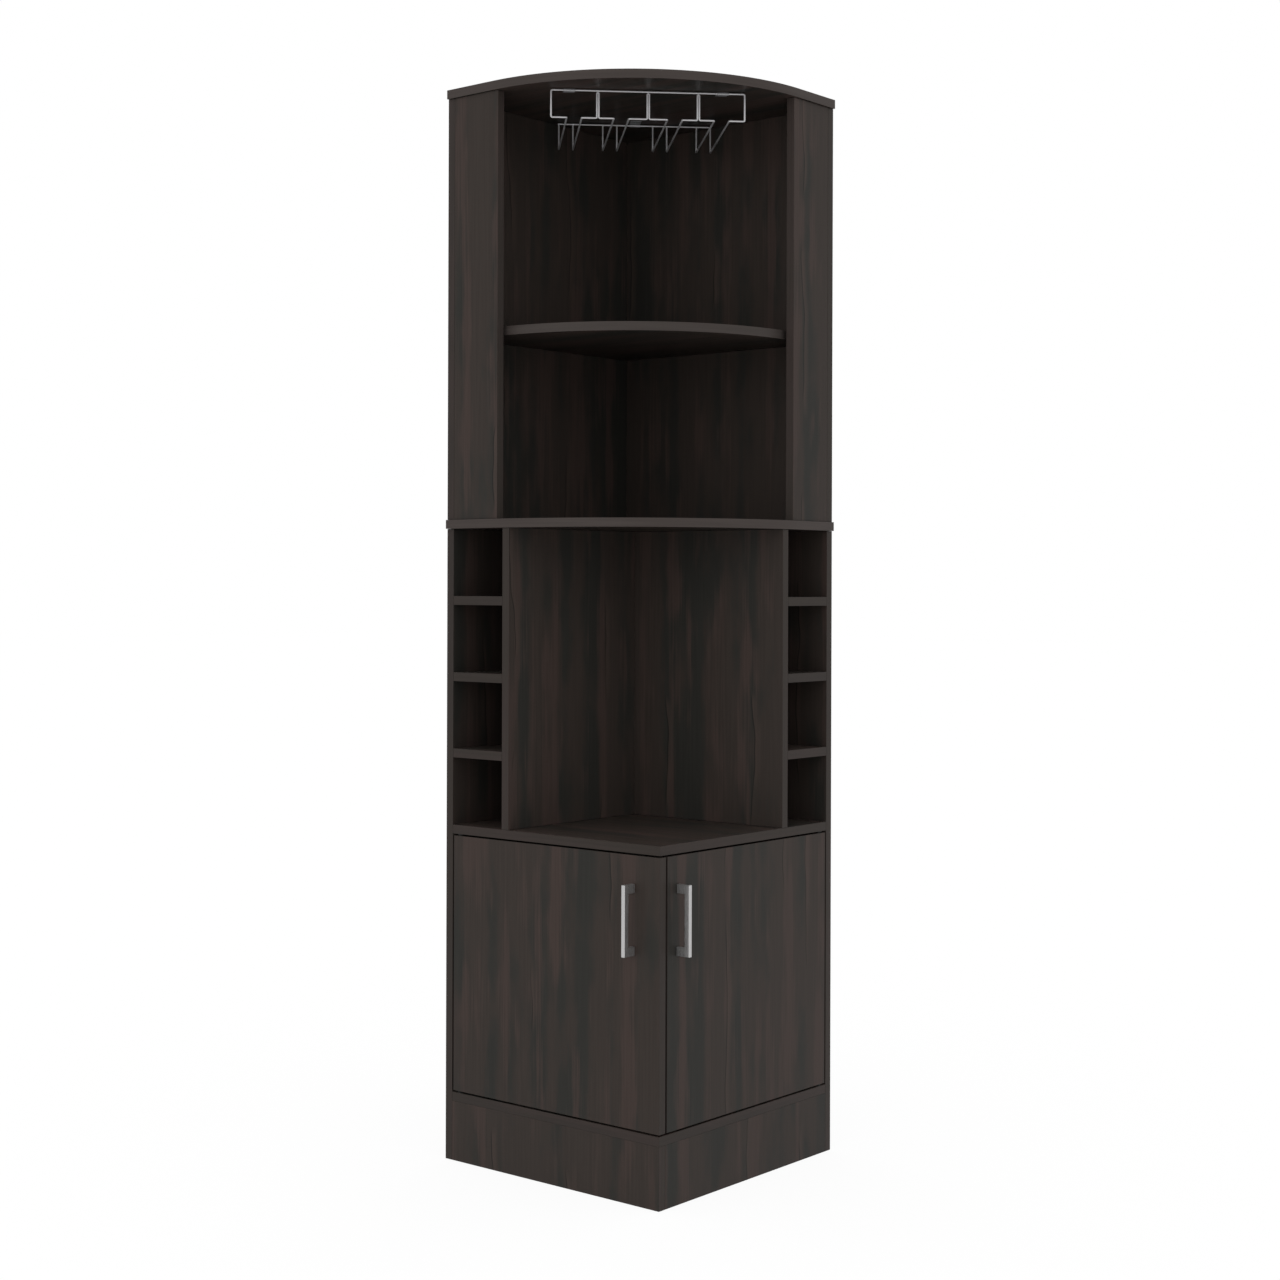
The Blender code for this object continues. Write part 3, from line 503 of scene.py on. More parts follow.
# In both corners the left piece runs through and the right one butts against it.
for side, reach in (("left", SIDE), ("right", FULL_DEPTH)):
    side_board(side + "_lower_wall_panel", side, (0, BOARD), (0, reach), lower, "along")
    side_board(side + "_upper_wall_panel", side, (0, BOARD), (0, reach), upper, "along")
    side_board(side + "_plinth_board", side, (INSIDE, reach), (0, BOARD), (0, PLINTH_HIGH), "depth")
    side_board(side + "_front_stile", side, (INSIDE, BOARD + STILE_WIDTH), (0, BOARD), upper, "depth")
for name, z in (("bottom_board", PLINTH), ("bench_board", BENCH_Z)):
    side_board(name, "left", (INSIDE, SIDE), (0, FULL_DEPTH), (z, z + BOARD), "z", "x")
print("boards so far:", board_count)

# %% The bottle cubbies
CUBBY_DEPTH = {"left": FULL_DEPTH, "right": SIDE - DIVIDER_BACK - SEAM}
for side in SIDES:
    depth = (0, CUBBY_DEPTH[side])
    side_board(side + "_cubby_divider", side, (DIVIDER_FACE, DIVIDER_BACK), depth,
               (BENCH_TOP + SEAM, MIDDLE_Z - SEAM), "along")
    for row in range(1, CUBBY_ROWS):
        z = BENCH_TOP + row * CUBBY + (row - 1) * BOARD
        side_board(side + "_cubby_shelf_" + str(row), side, (INSIDE, DIVIDER_FACE - SEAM), depth,
                   (z, z + BOARD), "z", "y" if side == "left" else "x")
print("boards so far:", board_count)

# %% The doors
DOOR_END = {"left": SIDE, "right": SIDE - BOARD - CORNER_GAP}
for side in SIDES:
    side_board(side + "_door", side, (BOARD + DOOR_GAP, DOOR_END[side]), (0, BOARD),
               (DOOR_LOW, DOOR_HIGH), "depth", "z", side + "_door")
print("boards so far:", board_count)

# %% [markdown]
# ## Rounded boards
# The middle board, the upper shelf and the top board end in a quarter arc. The plain model has 24 flats
# on it, which would show as a row of facets in the gloss. Here the arc has 120 and is shaded smooth, and
# the banding's print runs round it, so its place on the grain map is the distance walked round the edge.

# %% Boards with a round front
ARC_STEPS = 120
RIM = 30  # degrees; a sharper edge than this is eased
ROUND_STEP, ROUND_RUN = 1.37, 1.7  # metres on the print for each board, and how much more along it


def rounded_board(node_name, inner, reach, straight, z):
    """A board in the room corner whose free corner is an arc."""
    global board_count
    board_count += 1
    radius = reach - straight
    points = [(inner, -inner), (inner, -reach)]
    for step in range(ARC_STEPS + 1):
        turn = math.radians(90) * (step / ARC_STEPS - 1)
        points.append((straight + radius * math.cos(turn), -straight + radius * math.sin(turn)))
    points.append((reach, -inner))
    walked = [0.0]
    for here, there in zip(points, points[1:] + points[:1]):
        walked.append(walked[-1] + math.dist(here, there) / 1000)
    shape = prism([room(x, y, z) for x, y in points], [room(x, y, z + BOARD) for x, y in points])
    ease_edges(shape, [edge for edge in shape.edges if len(edge.link_faces) == 2
                       and edge.calc_face_angle() > math.radians(RIM)])
    grain = shape.loops.layers.uv.new("grain")
    shape.normal_update()
    corners = [room(x, y, z).to_2d() for x, y in points]
    for face in shape.faces:
        face.material_index = 0 if abs(face.normal.z) > FLAT else 1
        shift = ROUND_STEP * board_count + (FAR_SIDE if face.normal.z > 0 else 0)
        for loop in face.loops:
            place = loop.vert.co
            if face.material_index == 0:
                loop[grain].uv = (place.y + shift, place.x + shift * ROUND_RUN)
            else:
                near = min(range(len(corners)), key=lambda i: (corners[i] - place.to_2d()).length)
                loop[grain].uv = (place.z + shift, walked[near] + shift * ROUND_RUN)
    return finish_piece("banded_" + node_name, shape, [melamine, soft_banding], "cabinet",
                        [node_name])


print("flats in a round front:", ARC_STEPS)

# %% Middle board, upper shelf and top board
OVERHANG, BOARD_STRAIGHT = 4, 106  # past the fronts, and the front edge's straight part
SHELF_REACH, SHELF_STRAIGHT = 440, 100
for name, inner, reach, straight, z in (
        ("middle_board", 0, SIDE + OVERHANG, BOARD_STRAIGHT, MIDDLE_Z),
        ("upper_shelf", INSIDE, SHELF_REACH, SHELF_STRAIGHT, SHELF_Z),
        ("top_board", 0, SIDE + OVERHANG, BOARD_STRAIGHT, TOP_Z)):
    piece = rounded_board(name, inner, reach, straight, z)
    print(piece.name, len(piece.data.polygons), "faces")

# %% [markdown]
# ## Bar handles
# Each handle is a flat aluminium section, sawn to length and joined to two short posts of the same
# width. It could be three boxes, but a real one shows no seam after brushing, so it is one outline
# seen from the side, given its width, with all its edges rounded by 0.8 mm.

# %% Bar handles
HANDLE_PITCH, HANDLE_END, HANDLE_POST = 96.0, 8.2, 14.4
HANDLE_WIDTH, HANDLE_BAR = 7.0, 9.5  # across the door, and out from it
HANDLE_ROUND = 0.0008  # metres
HANDLE_FROM_TOP = 44.1
HANDLE_FROM_END = {"left": 53.0, "right": 25.4}
HANDLE_HALF = HANDLE_PITCH / 2 + HANDLE_END
HANDLE_Z = DOOR_HIGH - HANDLE_FROM_TOP - HANDLE_HALF


def split_wide_faces(shape):
    """Split the many-sided faces, which may be hollow in outline, into triangles."""
    bmesh.ops.triangulate(shape, faces=[face for face in shape.faces if len(face.verts) > 4])


def bar_handle(side):
    """A C-shaped bar that stands out from its door."""
    along = DOOR_END[side] - HANDLE_FROM_END[side]
    inner, grip = HANDLE_HALF - HANDLE_POST, HANDLE_REACH - HANDLE_BAR
    outline = [(SEAM, -HANDLE_HALF), (HANDLE_REACH, -HANDLE_HALF), (HANDLE_REACH, HANDLE_HALF),
               (SEAM, HANDLE_HALF), (SEAM, inner), (grip, inner), (grip, -inner), (SEAM, -inner)]
    shape = prism(*([spot(side, along + across, -out, HANDLE_Z + up) for out, up in outline]
                    for across in (-HANDLE_WIDTH / 2, HANDLE_WIDTH / 2)))
    ease_edges(shape, shape.edges[:], HANDLE_ROUND, 4)
    split_wide_faces(shape)
    return finish_piece(side + "_bar_handle", shape, [anodised], side + "_door",
                        [side + "_handle"])


for side in SIDES:
    print(bar_handle(side).name, "at", round(HANDLE_Z, 1), "mm")

# %% [markdown]
# ## Turned pieces
# Screws, pins and bushes are round, so each is a profile that is spun round its axis. A pan head gets a
# crossed recess, cut with a four-winged wedge, because a screw without a drive would look like a rivet.
# One screw of each size is made, and every place that needs it gets a copy.

# %% A spun profile
TURNED_SIDES = 40


def spun(profile):
    """A bmesh turned about Z from (radius, height) pairs in millimetres."""
    shape = bmesh.new()
    line = [shape.verts.new((radius / 1000, 0, height / 1000)) for radius, height in profile]
    edges = [shape.edges.new(pair) for pair in zip(line, line[1:])]
    bmesh.ops.spin(shape, geom=line + edges, cent=(0, 0, 0), axis=(0, 0, 1), steps=TURNED_SIDES,
                   angle=math.radians(360))
    bmesh.ops.remove_doubles(shape, verts=shape.verts, dist=0.000005)
    bmesh.ops.recalc_face_normals(shape, faces=shape.faces)
    return shape


def pointing(start, direction):
    """Stand a piece at start with its tip, local -Z, along direction."""
    turn = Vector((0, 0, -1)).rotation_difference(direction)
    return Matrix.Translation(start) @ turn.to_matrix().to_4x4()


def place_mesh(name, mesh, place, finish, body, nodes):
    """Put a copy of a ready mesh in its place."""
    shape = bmesh.new()
    shape.from_mesh(mesh)
    bmesh.ops.transform(shape, matrix=place, verts=shape.verts)
    return finish_piece(name, shape, [finish], body, nodes)


print("sides of a turned piece:", TURNED_SIDES)

# %% Pan-head screws with a crossed recess
# All but the steps are shares of the head's own radius or height.
DOME_STEPS, RIM_HEIGHT, UNDERSIDE = 8, 0.35, 0.97
WING, WEB = 0.58, 0.13  # reach and half width of a wing of the wedge
TAPER, RECESS_LOW, RECESS_HIGH = 0.5, 0.35, 1.2


def dome(radius, height):
    """The rounded top of a pan head, from its middle to its rim."""
    turns = [step / DOME_STEPS * math.pi / 2 for step in range(DOME_STEPS + 1)]
    return [(radius * math.sin(turn), height * (RIM_HEIGHT + (1 - RIM_HEIGHT) * math.cos(turn)))
            for turn in turns]


def cross_screw(name, radius, head_radius, head, length):
    """A mesh of one screw, its head's underside at height zero."""
    profile = dome(head_radius, head) + [
        (head_radius * UNDERSIDE, 0), (radius, 0), (radius, -length + radius), (0, -length)]
    solid = mesh_of(name, spun(profile))
    wing, web = head_radius * WING, head_radius * WEB
    plus = [(wing, -web), (wing, web), (web, web)]
    for quarter in range(3):
        plus += [(-y, x) for x, y in plus[-3:]]
    wedge = prism([Vector((x * TAPER, y * TAPER, head * RECESS_LOW)) / 1000 for x, y in plus],
                  [Vector((x, y, head * RECESS_HIGH)) / 1000 for x, y in plus])
    recess = mesh_of(name + "_recess", wedge)
    screw, cutter = (add_object(mesh.name, mesh) for mesh in (solid, recess))
    cut =screw.modifiers.new("recess", "BOOLEAN")
    cut.operation, cut.object = "DIFFERENCE", cutter
    ready = screw.evaluated_get(bpy.context.evaluated_depsgraph_get())
    result = bpy.data.meshes.new_from_object(ready)
    for helper in (screw, cutter):
        bpy.data.objects.remove(helper, do_unlink=True)
    return result


print("steps in a pan head:", DOME_STEPS)

# %% One screw of each size
HANDLE_SCREW = (2.0, 4.2, 2.2)  # radius, head's radius and head's height
SMALL_SCREW = (1.5, 2.6, 1.5)
STRIKE, CATCH_HEIGHT, CLIP = 1.2, 13.0, 1.0  # what the small screws pass through
BITE = 9.0  # how far a screw goes into what it holds on to
handle_screw = cross_screw("handle_screw", *HANDLE_SCREW, BOARD + SEAM + BITE)
catch_screw = cross_screw("catch_screw", *SMALL_SCREW, CATCH_HEIGHT + 2 * SEAM + BITE)
plate_screw = cross_screw("plate_screw", *SMALL_SCREW, STRIKE + 2 * SEAM + BITE)
clip_screw = cross_screw("clip_screw", *SMALL_SCREW, CLIP + 2 * SEAM + BITE)
screws = (handle_screw, catch_screw, plate_screw, clip_screw)
print("screw faces:", [len(mesh.polygons) for mesh in screws])

# %% Handle screws, from inside each door
def fasten(name, screw, start, direction, body="cabinet"):
    """Drive a copy of a screw along a direction, its head's underside at start."""
    return place_mesh("cross_" + name, screw, pointing(start, direction), zinc, body, [name])


for side in SIDES:
    along = DOOR_END[side] - HANDLE_FROM_END[side]
    for level, step in (("lower", -HANDLE_PITCH / 2), ("upper", HANDLE_PITCH / 2)):
        start = spot(side, along, BOARD + SEAM, HANDLE_Z + step)
        fasten(side + "_" + level + "_handle_screw", handle_screw, start, OUTWARD[side],
               side + "_door")
print("handle screws: 4")

# %% Profiles of a door pin and its bush
PIVOT_IN_DOOR = 11.0  # from the door's edge to the pivot's axis
PIVOT_ALONG = BOARD + DOOR_GAP + PIVOT_IN_DOOR
PIN, PIN_IN_DOOR, PIN_IN_BUSH = 3.0, 20.0, 7.5
COLLAR, COLLAR_TOP = 5.5, 1.6
BUSH, BUSH_DEPTH, BUSH_FLOOR = 5.0, 9.0, 1.0
FLANGE, FLANGE_TOP = 6.5, 1.1
TIP_EASE, COLLAR_EASE, HOLE_EASE, FLANGE_EASE = 0.5, 0.25, 0.2, 0.3
TIP = DOOR_GAP + PIN_IN_BUSH
HOLE = PIN + SEAM
pin_profile = [(0, TIP), (PIN - TIP_EASE, TIP), (PIN, TIP - TIP_EASE), (PIN, COLLAR_TOP),
               (COLLAR - COLLAR_EASE, COLLAR_TOP), (COLLAR, COLLAR_TOP - COLLAR_EASE),
               (COLLAR, SEAM + COLLAR_EASE), (COLLAR - COLLAR_EASE, SEAM), (PIN, SEAM),
               (PIN, TIP_EASE - PIN_IN_DOOR), (PIN - TIP_EASE, -PIN_IN_DOOR), (0, -PIN_IN_DOOR)]
bush_profile = [(0, BUSH_FLOOR - BUSH_DEPTH), (HOLE, BUSH_FLOOR - BUSH_DEPTH),
                (HOLE, FLANGE_TOP - HOLE_EASE), (HOLE + HOLE_EASE, FLANGE_TOP),
                (FLANGE - FLANGE_EASE, FLANGE_TOP), (FLANGE, FLANGE_TOP - FLANGE_EASE),
                (FLANGE, SEAM), (BUSH, SEAM), (BUSH, -BUSH_DEPTH), (0, -BUSH_DEPTH)]
print("pin:", TIP + PIN_IN_DOOR, "mm long")

# %% Door pins and their bushes
for part, profile, finish, slot in (
        ("pin", pin_profile, phosphate, "fixing_steel"), ("bush", bush_profile, nylon, "bush_nylon")):
    turned = mesh_of("door_" + part, spun(profile))
    on_door = part == "pin"
    for side in SIDES:
        for level, door_z, board_z, inward in (
                ("lower", DOOR_LOW, PLINTH + BOARD, 1), ("upper", DOOR_HIGH, BENCH_Z, -1)):
            start = spot(side, PIVOT_ALONG, BOARD / 2, door_z if on_door else board_z)
            up = Vector((0, 0, inward if on_door else -inward))
            name = side + "_" + level + "_door_" + part
            place_mesh("turned_" + name, turned, pointing(start, up), finish,
                       side + "_door" if on_door else "cabinet", [name])
print("pins and bushes: 8")

# %% [markdown]
# ## Magnetic catches
# A catch is a ferrite block between two steel pole plates, held in a black case that is screwed up under
# the bench board. The poles pull on a thin steel plate on the back of the door. One block could stand
# for all of it, but the open doors show it, so the case, the poles and the magnet are blocks of their
# own. The case is set back a little from the poles, so that steel and not plastic meets the plate.

# %% Blocks with eased edges
def eased_block(shape, first, second, ease, finish_index):
    """Add a block with round edges and its own finish to a bmesh."""
    made = add_block(shape, first, second)
    edges = list({edge for vert in made for edge in vert.link_edges})
    old = {face for vert in made for face in vert.link_faces}
    new = ease_edges(shape, edges, ease, 2)
    for face in list(new) + [face for face in old if face.is_valid]:
        face.material_index = finish_index


CATCH_LENGTH, CATCH_DEPTH = 40.0, 14.0
print("catch:", CATCH_LENGTH, "by", CATCH_DEPTH, "by", CATCH_HEIGHT, "mm")

# %% Catches and their screws
CATCH_FRONT = BOARD + SEAM + STRIKE + SEAM
CATCH_SPACE = 14.2  # from a catch to the other door's catch
CATCH_SCREW = 13  # from a catch's middle to a screw
CATCH_LOW = BENCH_Z - SEAM - CATCH_HEIGHT
CATCH_MIDDLE = SIDE - CATCH_FRONT - CATCH_DEPTH - CATCH_SPACE - CATCH_LENGTH / 2
CASE_SETBACK, CASE_EASE, POLE_EASE = 0.8, 0.0008, 0.00015
MOUTH_HALF, MOUTH_DEPTH = 9, 0.9  # half the poles' length, and how deep they are drawn
# Two poles, then the magnet between them: lower edge, upper edge, setback and finish.
MOUTH = ((2.6, 3.8, 0, 1), (8.2, 9.4, 0, 1), (4.0, 8.0, 0.3, 2))
for side in SIDES:
    first, last = CATCH_MIDDLE - CATCH_LENGTH / 2, CATCH_MIDDLE + CATCH_LENGTH / 2
    shape = bmesh.new()
    eased_block(shape, spot(side, first, CATCH_FRONT + CASE_SETBACK, CATCH_LOW),
                spot(side, last, CATCH_FRONT + CATCH_DEPTH, BENCH_Z - SEAM), CASE_EASE, 0)
    for low, high, setback, index in MOUTH:
        eased_block(shape, spot(side, CATCH_MIDDLE - MOUTH_HALF, CATCH_FRONT + setback, CATCH_LOW + low),
                    spot(side, CATCH_MIDDLE + MOUTH_HALF, CATCH_FRONT + MOUTH_DEPTH, CATCH_LOW + high),
                    POLE_EASE, index)
    finish_piece(side + "_magnetic_catch", shape, [black_abs, zinc, ferrite], "cabinet",
                 [side + "_door_catch"])
    for end, step in (("inner", -CATCH_SCREW), ("outer", CATCH_SCREW)):
        start = spot(side, CATCH_MIDDLE + step, CATCH_FRONT + CATCH_DEPTH / 2, CATCH_LOW - SEAM)
        fasten(side + "_catch_" + end + "_screw", catch_screw, start, UP)
print("catches at", round(CATCH_MIDDLE, 1), "mm from each wall")

# %% Strike plates and their screws
STRIKE_BACK = BOARD + SEAM + STRIKE
STRIKE_HIGH, STRIKE_HEIGHT = DOOR_HIGH - 1, 12
STRIKE_TAIL, STRIKE_EASE = 12, 0.00025  # the tail is for the screw, beside the catch
for side in SIDES:
    first, last = CATCH_MIDDLE - CATCH_LENGTH / 2 - STRIKE_TAIL, CATCH_MIDDLE + CATCH_LENGTH / 2
    shape = bmesh.new()
    eased_block(shape, spot(side, first, BOARD + SEAM, STRIKE_HIGH - STRIKE_HEIGHT),
                spot(side, last, STRIKE_BACK, STRIKE_HIGH), STRIKE_EASE, 0)
    finish_piece(side + "_steel_strike", shape, [zinc], side + "_door",
                 [side + "_strike_plate"])
    start = spot(side, first + STRIKE_TAIL / 2, STRIKE_BACK + SEAM, STRIKE_HIGH - STRIKE_HEIGHT / 2)
    fasten(side + "_strike_screw", plate_screw, start, OUTWARD[side], side + "_door")
print("strike plates:", round(last - first, 1), "mm long")

# %% [markdown]
# ## Stemware rack
# The rack is bent from 3 mm wire. One long wire makes the front rail, both ends and the outer rails, and
# three hairpins make the rest, so that a glass slides in by its foot between two of them. A wire is a
# curve with a round bevel, since cylinders laid end to end would gape at the corners. The corners are
# bent round a pin and not mitred, so each one is an arc, here with ten steps. A hairpin's two uprights
# nearly touch and read as one bright pair. Where wires cross they are spot welded, which leaves a small
# flat bead.

# %% The rack's own axes: x along its front, y into the room corner, z up
WIRE, BEND, RACK_DROP = 1.5, 2.4, 45.0  # a wire's radius, a corner's radius, and the rack's height
END_FOOT, SLOT_PITCH, SIDE_HAIRPIN, CENTRE_HAIRPIN = 25.8, 25.0, 53.0, 64.0
RACK_SETBACK, RACK_FROM_WALL = 227, 14.3  # from the free corner, and from a wall panel
FOOT_START = SLOT_PITCH + SIDE_HAIRPIN + SLOT_PITCH + CENTRE_HAIRPIN / 2
RACK_HALF = FOOT_START + END_FOOT
RACK_INSET = SIDE - RACK_SETBACK / math.sqrt(2)
RACK_DEPTH = (RACK_INSET - BOARD - RACK_FROM_WALL - WIRE) * math.sqrt(2) - FOOT_START
RAIL_Z = -(SEAM + CLIP + SEAM + WIRE)
RUN_Z, END_Z = RAIL_Z - RACK_DROP, RAIL_Z - WIRE - SEAM
rack_place = (Matrix.Translation(room(RACK_INSET, -RACK_INSET, TOP_Z))
              @ Matrix.Rotation(math.radians(45), 4, "Z") @ Matrix.Scale(0.001, 4))
print("rack depth:", round(RACK_DEPTH, 2), "mm")

# %% Bent wires
BEND_STEPS = 10


def bent(points, bends):
    """Points of a wire whose inner corners are arcs of their own radius."""
    path = [Vector(points[0])]
    for index, bend in enumerate(bends, start=1):
        corner = Vector(points[index])
        back = (Vector(points[index - 1]) - corner).normalized()
        onward = (Vector(points[index + 1]) - corner).normalized()
        half = back.angle(onward) / 2
        centre = corner + (back + onward).normalized() * bend / math.sin(half)
        spoke = corner + back * bend / math.tan(half) - centre
        axis = spoke.cross(corner + onward * bend / math.tan(half) - centre)
        for step in range(BEND_STEPS + 1):
            turn = Matrix.Rotation((math.pi - 2 * half) * step / BEND_STEPS, 3, axis)
            path.append(centre + turn @ spoke)
    return path + [Vector(points[-1])]


def rack_wire(name, path, nodes):
    """A plated wire along a path in the rack's axes."""
    curve = bpy.data.curves.new(name, "CURVE")
    curve.dimensions = "3D"
    curve.bevel_depth = WIRE / 1000
    curve.bevel_resolution = 6
    curve.use_fill_caps = True
    spline = curve.splines.new("POLY")
    spline.points.add(len(path) - 1)
    for point, place in zip(spline.points, path):
        point.co = (*(rack_place @ place), 1)
    spline.use_smooth = True
    curve.materials.append(nickel)
    piece = add_object(name, curve)
    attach(piece, "cabinet")
    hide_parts(*nodes)
    return piece


def mirrored(half, middle=0):
    """The whole of a wire from its right half, with its middle moved along the rack."""
    return [(middle + x, y, z) for x, y, z in half + [(-x, y, z) for x, y, z in reversed(half)]]


print("steps in a bend:", BEND_STEPS)

# %% Frame wire, back rail and hairpins
frame_half = [(FOOT_START, RACK_DEPTH, END_Z), (FOOT_START, RACK_DEPTH, RUN_Z),
              (FOOT_START, 0, RUN_Z), (RACK_HALF, 0, RUN_Z), (RACK_HALF, 0, RAIL_Z)]
whole = mirrored(frame_half)
rack_wire("rack_bent_frame", bent(whole, [BEND] * (len(whole) - 2)), ["rack_frame_wire"])
rail_end = FOOT_START + WIRE
rack_wire("rack_straight_rail", [Vector((-rail_end, RACK_DEPTH, RAIL_Z)),
                                 Vector((rail_end, RACK_DEPTH, RAIL_Z))], ["rack_back_rail"])
HAIRPIN_GAP = 0.3  # between a hairpin's uprights
UPRIGHT = WIRE + HAIRPIN_GAP / 2
CLOSED_BEND = UPRIGHT * 0.95  # radius of the two bends where a hairpin's uprights join
SIDE_MIDDLE = CENTRE_HAIRPIN / 2 + SLOT_PITCH + SIDE_HAIRPIN / 2
beads = [(FOOT_START, RACK_DEPTH), (-FOOT_START, RACK_DEPTH)]
for name, middle, width in (
        ("left", -SIDE_MIDDLE, SIDE_HAIRPIN), ("centre", 0, CENTRE_HAIRPIN),
        ("right", SIDE_MIDDLE, SIDE_HAIRPIN)):
    reach = width / 2
    hairpin_half = [(reach, RACK_DEPTH, END_Z), (reach, RACK_DEPTH, RUN_Z), (reach, 0, RUN_Z),
                    (UPRIGHT, 0, RUN_Z), (UPRIGHT, 0, END_Z - WIRE)]
    rack_wire("rack_" + name + "_bent_hairpin",
              bent(mirrored(hairpin_half, middle), [BEND] * 3 + [CLOSED_BEND] * 2 + [BEND] * 3),
              ["rack_" + name + "_hairpin"])
    beads += [(middle, 0), (middle + reach, RACK_DEPTH), (middle - reach, RACK_DEPTH)]
print("wires: 5, welds:", len(beads))

# %% Weld beads
BEAD = (1.7, 1.7, 0.9)  # half sizes
shape = bmesh.new()
for x, y in beads:
    bead = bmesh.ops.create_uvsphere(shape, u_segments=16, v_segments=10, radius=1)["verts"]
    bmesh.ops.scale(shape, vec=BEAD, verts=bead)
    bmesh.ops.translate(shape, vec=(x, y, RAIL_Z - WIRE - SEAM / 2), verts=bead)
bmesh.ops.transform(shape, matrix=rack_place, verts=shape.verts)
finish_piece("rack_weld_beads", shape, [nickel], "cabinet", [])
print("weld beads in place")

# %% [markdown]
# ## Clips of the rack
# Three clips of sheet steel hold the rack up. Each is a tongue that is screwed under the top board, and
# its end is rolled round a rail. Its side view is drawn as one line, the tongue and then an arc, which
# is given the sheet's thickness and then the clip's width, as when the real one is pressed from a strip.

# %% The shape of a clip
CLIP_WIDTH, CLIP_TONGUE, CLIP_SCREW = 19.0, 26.0, 15.0
CLIP_ROLL, ROLL_STEPS = 225, 28  # degrees round the wire


def clip_body():
    """A tongue of sheet that curls under the wire, drawn from the side and given its width."""
    curl = WIRE + SEAM + CLIP / 2
    line = [(CLIP_TONGUE, -SEAM - CLIP / 2), (CLIP_TONGUE / 2, -SEAM - CLIP / 2)]
    for step in range(ROLL_STEPS + 1):
        turn = math.radians(90 + CLIP_ROLL * step / ROLL_STEPS)
        line.append((curl * math.cos(turn), RAIL_Z + curl * math.sin(turn)))
    outer, inner = [], []
    for index, (y, z) in enumerate(line):
        before, after = line[max(index - 1, 0)], line[min(index + 1, len(line) - 1)]
        run = Vector((after[0] - before[0], after[1] - before[1])).normalized()
        outer.append((y + run.y * CLIP / 2, z - run.x * CLIP / 2))
        inner.append((y - run.y * CLIP / 2, z + run.x * CLIP / 2))
    outline = outer + inner[::-1]
    shape = prism(*([Vector((x, y, z)) for y, z in outline]
                    for x in (-CLIP_WIDTH / 2, CLIP_WIDTH / 2)))
    split_wide_faces(shape)
    return mesh_of("clip_body", shape)


clip = clip_body()
print("clip faces:", len(clip.polygons))

# %% Three clips and their screws
CLIP_FROM_END = {"left": 30.2, "right": 36.4}  # rack's end to a front clip's middle
clip_places = {"left": Matrix.Translation((CLIP_FROM_END["left"] - RACK_HALF, 0, 0)),
               "right": Matrix.Translation((RACK_HALF - CLIP_FROM_END["right"], 0, 0)),
               "back": Matrix.Translation((0, RACK_DEPTH, 0)) @ Matrix.Rotation(math.pi, 4, "Z")}
for name, place in clip_places.items():
    world = rack_place @ place
    place_mesh("rack_" + name + "_sheet_clip", clip, world, clip_zinc, "cabinet",
               ["rack_" + name + "_clip"])
    start = world @ Vector((0, CLIP_SCREW, -SEAM - CLIP - SEAM))
    fasten("rack_" + name + "_clip_screw", clip_screw, start, UP)
print("clips:", len(clip_places))

# %% [markdown]
# ## Studio
# The cabinet stands in a white studio. White paper is drawn as white for the camera and for gloss, and
# only a part of it takes light, so that a soft shadow stays where the cabinet stands. Its glow is a
# little over 1, because the part that takes light comes out under white. The light itself is plain: an
# even glow from all round, and two wide soft panels in front of the two fronts. One strong lamp would
# be simpler, but it would throw hard shadows into the open bays.

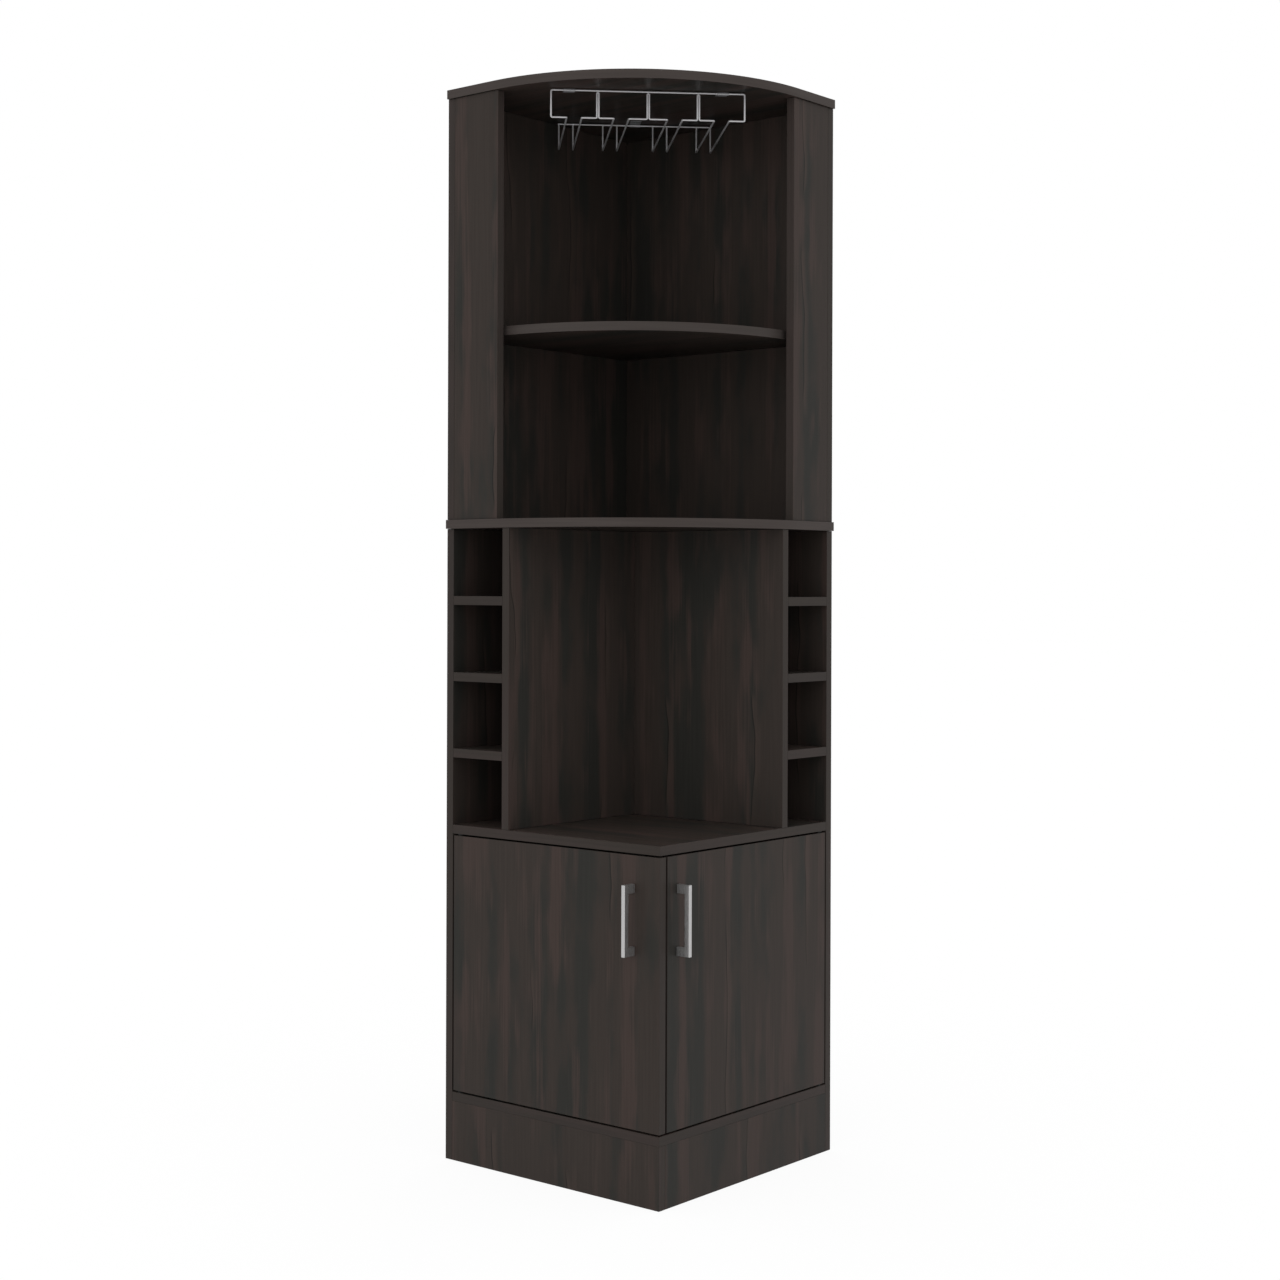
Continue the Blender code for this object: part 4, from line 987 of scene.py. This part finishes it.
# %% Floor
FLOOR_HALF, FLOOR_LOW = 30, 0.0005  # metres
PAPER_GLOW, GLOW_SHARE = 1.07, 0.86
floor_shape = bmesh.new()
bmesh.ops.create_grid(floor_shape, x_segments=1, y_segments=1, size=FLOOR_HALF)
floor = add_object("floor", mesh_of("floor", floor_shape))
floor.location.z = -FLOOR_LOW
paper = bpy.data.materials.new("studio_paper")
paper.use_nodes = True
tree = paper.node_tree
tree.nodes.clear()
rays = node(tree, "LightPath").outputs
seen = sum_of(tree, rays["Is Camera Ray"], rays["Is Glossy Ray"], "MAXIMUM")
seen = sum_of(tree, seen, rays["Is Transmission Ray"], "MAXIMUM")
matt = node(tree, "BsdfDiffuse", {"Color": linear("#E0E0E0")})
glow = node(tree, "Emission", {"Color": linear("#FFFFFF"), "Strength": PAPER_GLOW})
share = sum_of(tree, seen, GLOW_SHARE, "MULTIPLY")
mixed = node(tree, "MixShader", {0: share, 1: matt.outputs["BSDF"], 2: glow.outputs["Emission"]})
node(tree, "OutputMaterial", {"Surface": mixed.outputs["Shader"]})
floor.data.materials.append(paper)
print("floor:", 2 * FLOOR_HALF, "m square")

# %% Even glow from all round
WORLD_LIGHT = 0.772
world = bpy.data.worlds.new("studio")
bpy.context.scene.world = world
world.use_nodes = True
tree = world.node_tree
tree.nodes.clear()
rays = node(tree, "LightPath").outputs
seen = sum_of(tree, rays["Is Camera Ray"], rays["Is Transmission Ray"], "MAXIMUM")
strength = node(tree, "MapRange", {"Value": seen, "To Min": WORLD_LIGHT, "To Max": 1.0})
glow = node(tree, "Background", {"Color": linear("#FFFFFF"), "Strength": strength.outputs["Result"]})
node(tree, "OutputWorld", {"Surface": glow.outputs["Background"]})
print("world light:", WORLD_LIGHT)

# %% Soft panels
PANEL_SIDE, PANEL_AWAY, CABINET_MIDDLE = 4.0, 6.0, 0.9  # metres


def soft_panel(name, azimuth, elevation, watts):
    """A square soft light that faces the middle of the cabinet, its angles in degrees."""
    light = bpy.data.lights.new(name, "AREA")
    light.shape = "SQUARE"
    light.size = PANEL_SIDE
    light.energy = watts
    lamp = add_object(name, light)
    turned = (Matrix.Rotation(math.radians(azimuth), 3, "Z")
              @ Matrix.Rotation(math.radians(-elevation), 3, "Y"))
    away = turned @ Vector((PANEL_AWAY, 0, 0))
    lamp.location = away + Vector((0, 0, CABINET_MIDDLE))
    lamp.rotation_euler = (-away).to_track_quat("-Z", "Y").to_euler()
    print(name, "stands at", [round(v, 2) for v in lamp.location])


soft_panel("left_panel", -86, 8, 32)
soft_panel("right_panel", -18, 30, 13)

# %% [markdown]
# ## Finish
# The dressed cabinet must be the size of the plain one.

# %% Finish
bpy.context.view_layer.update()
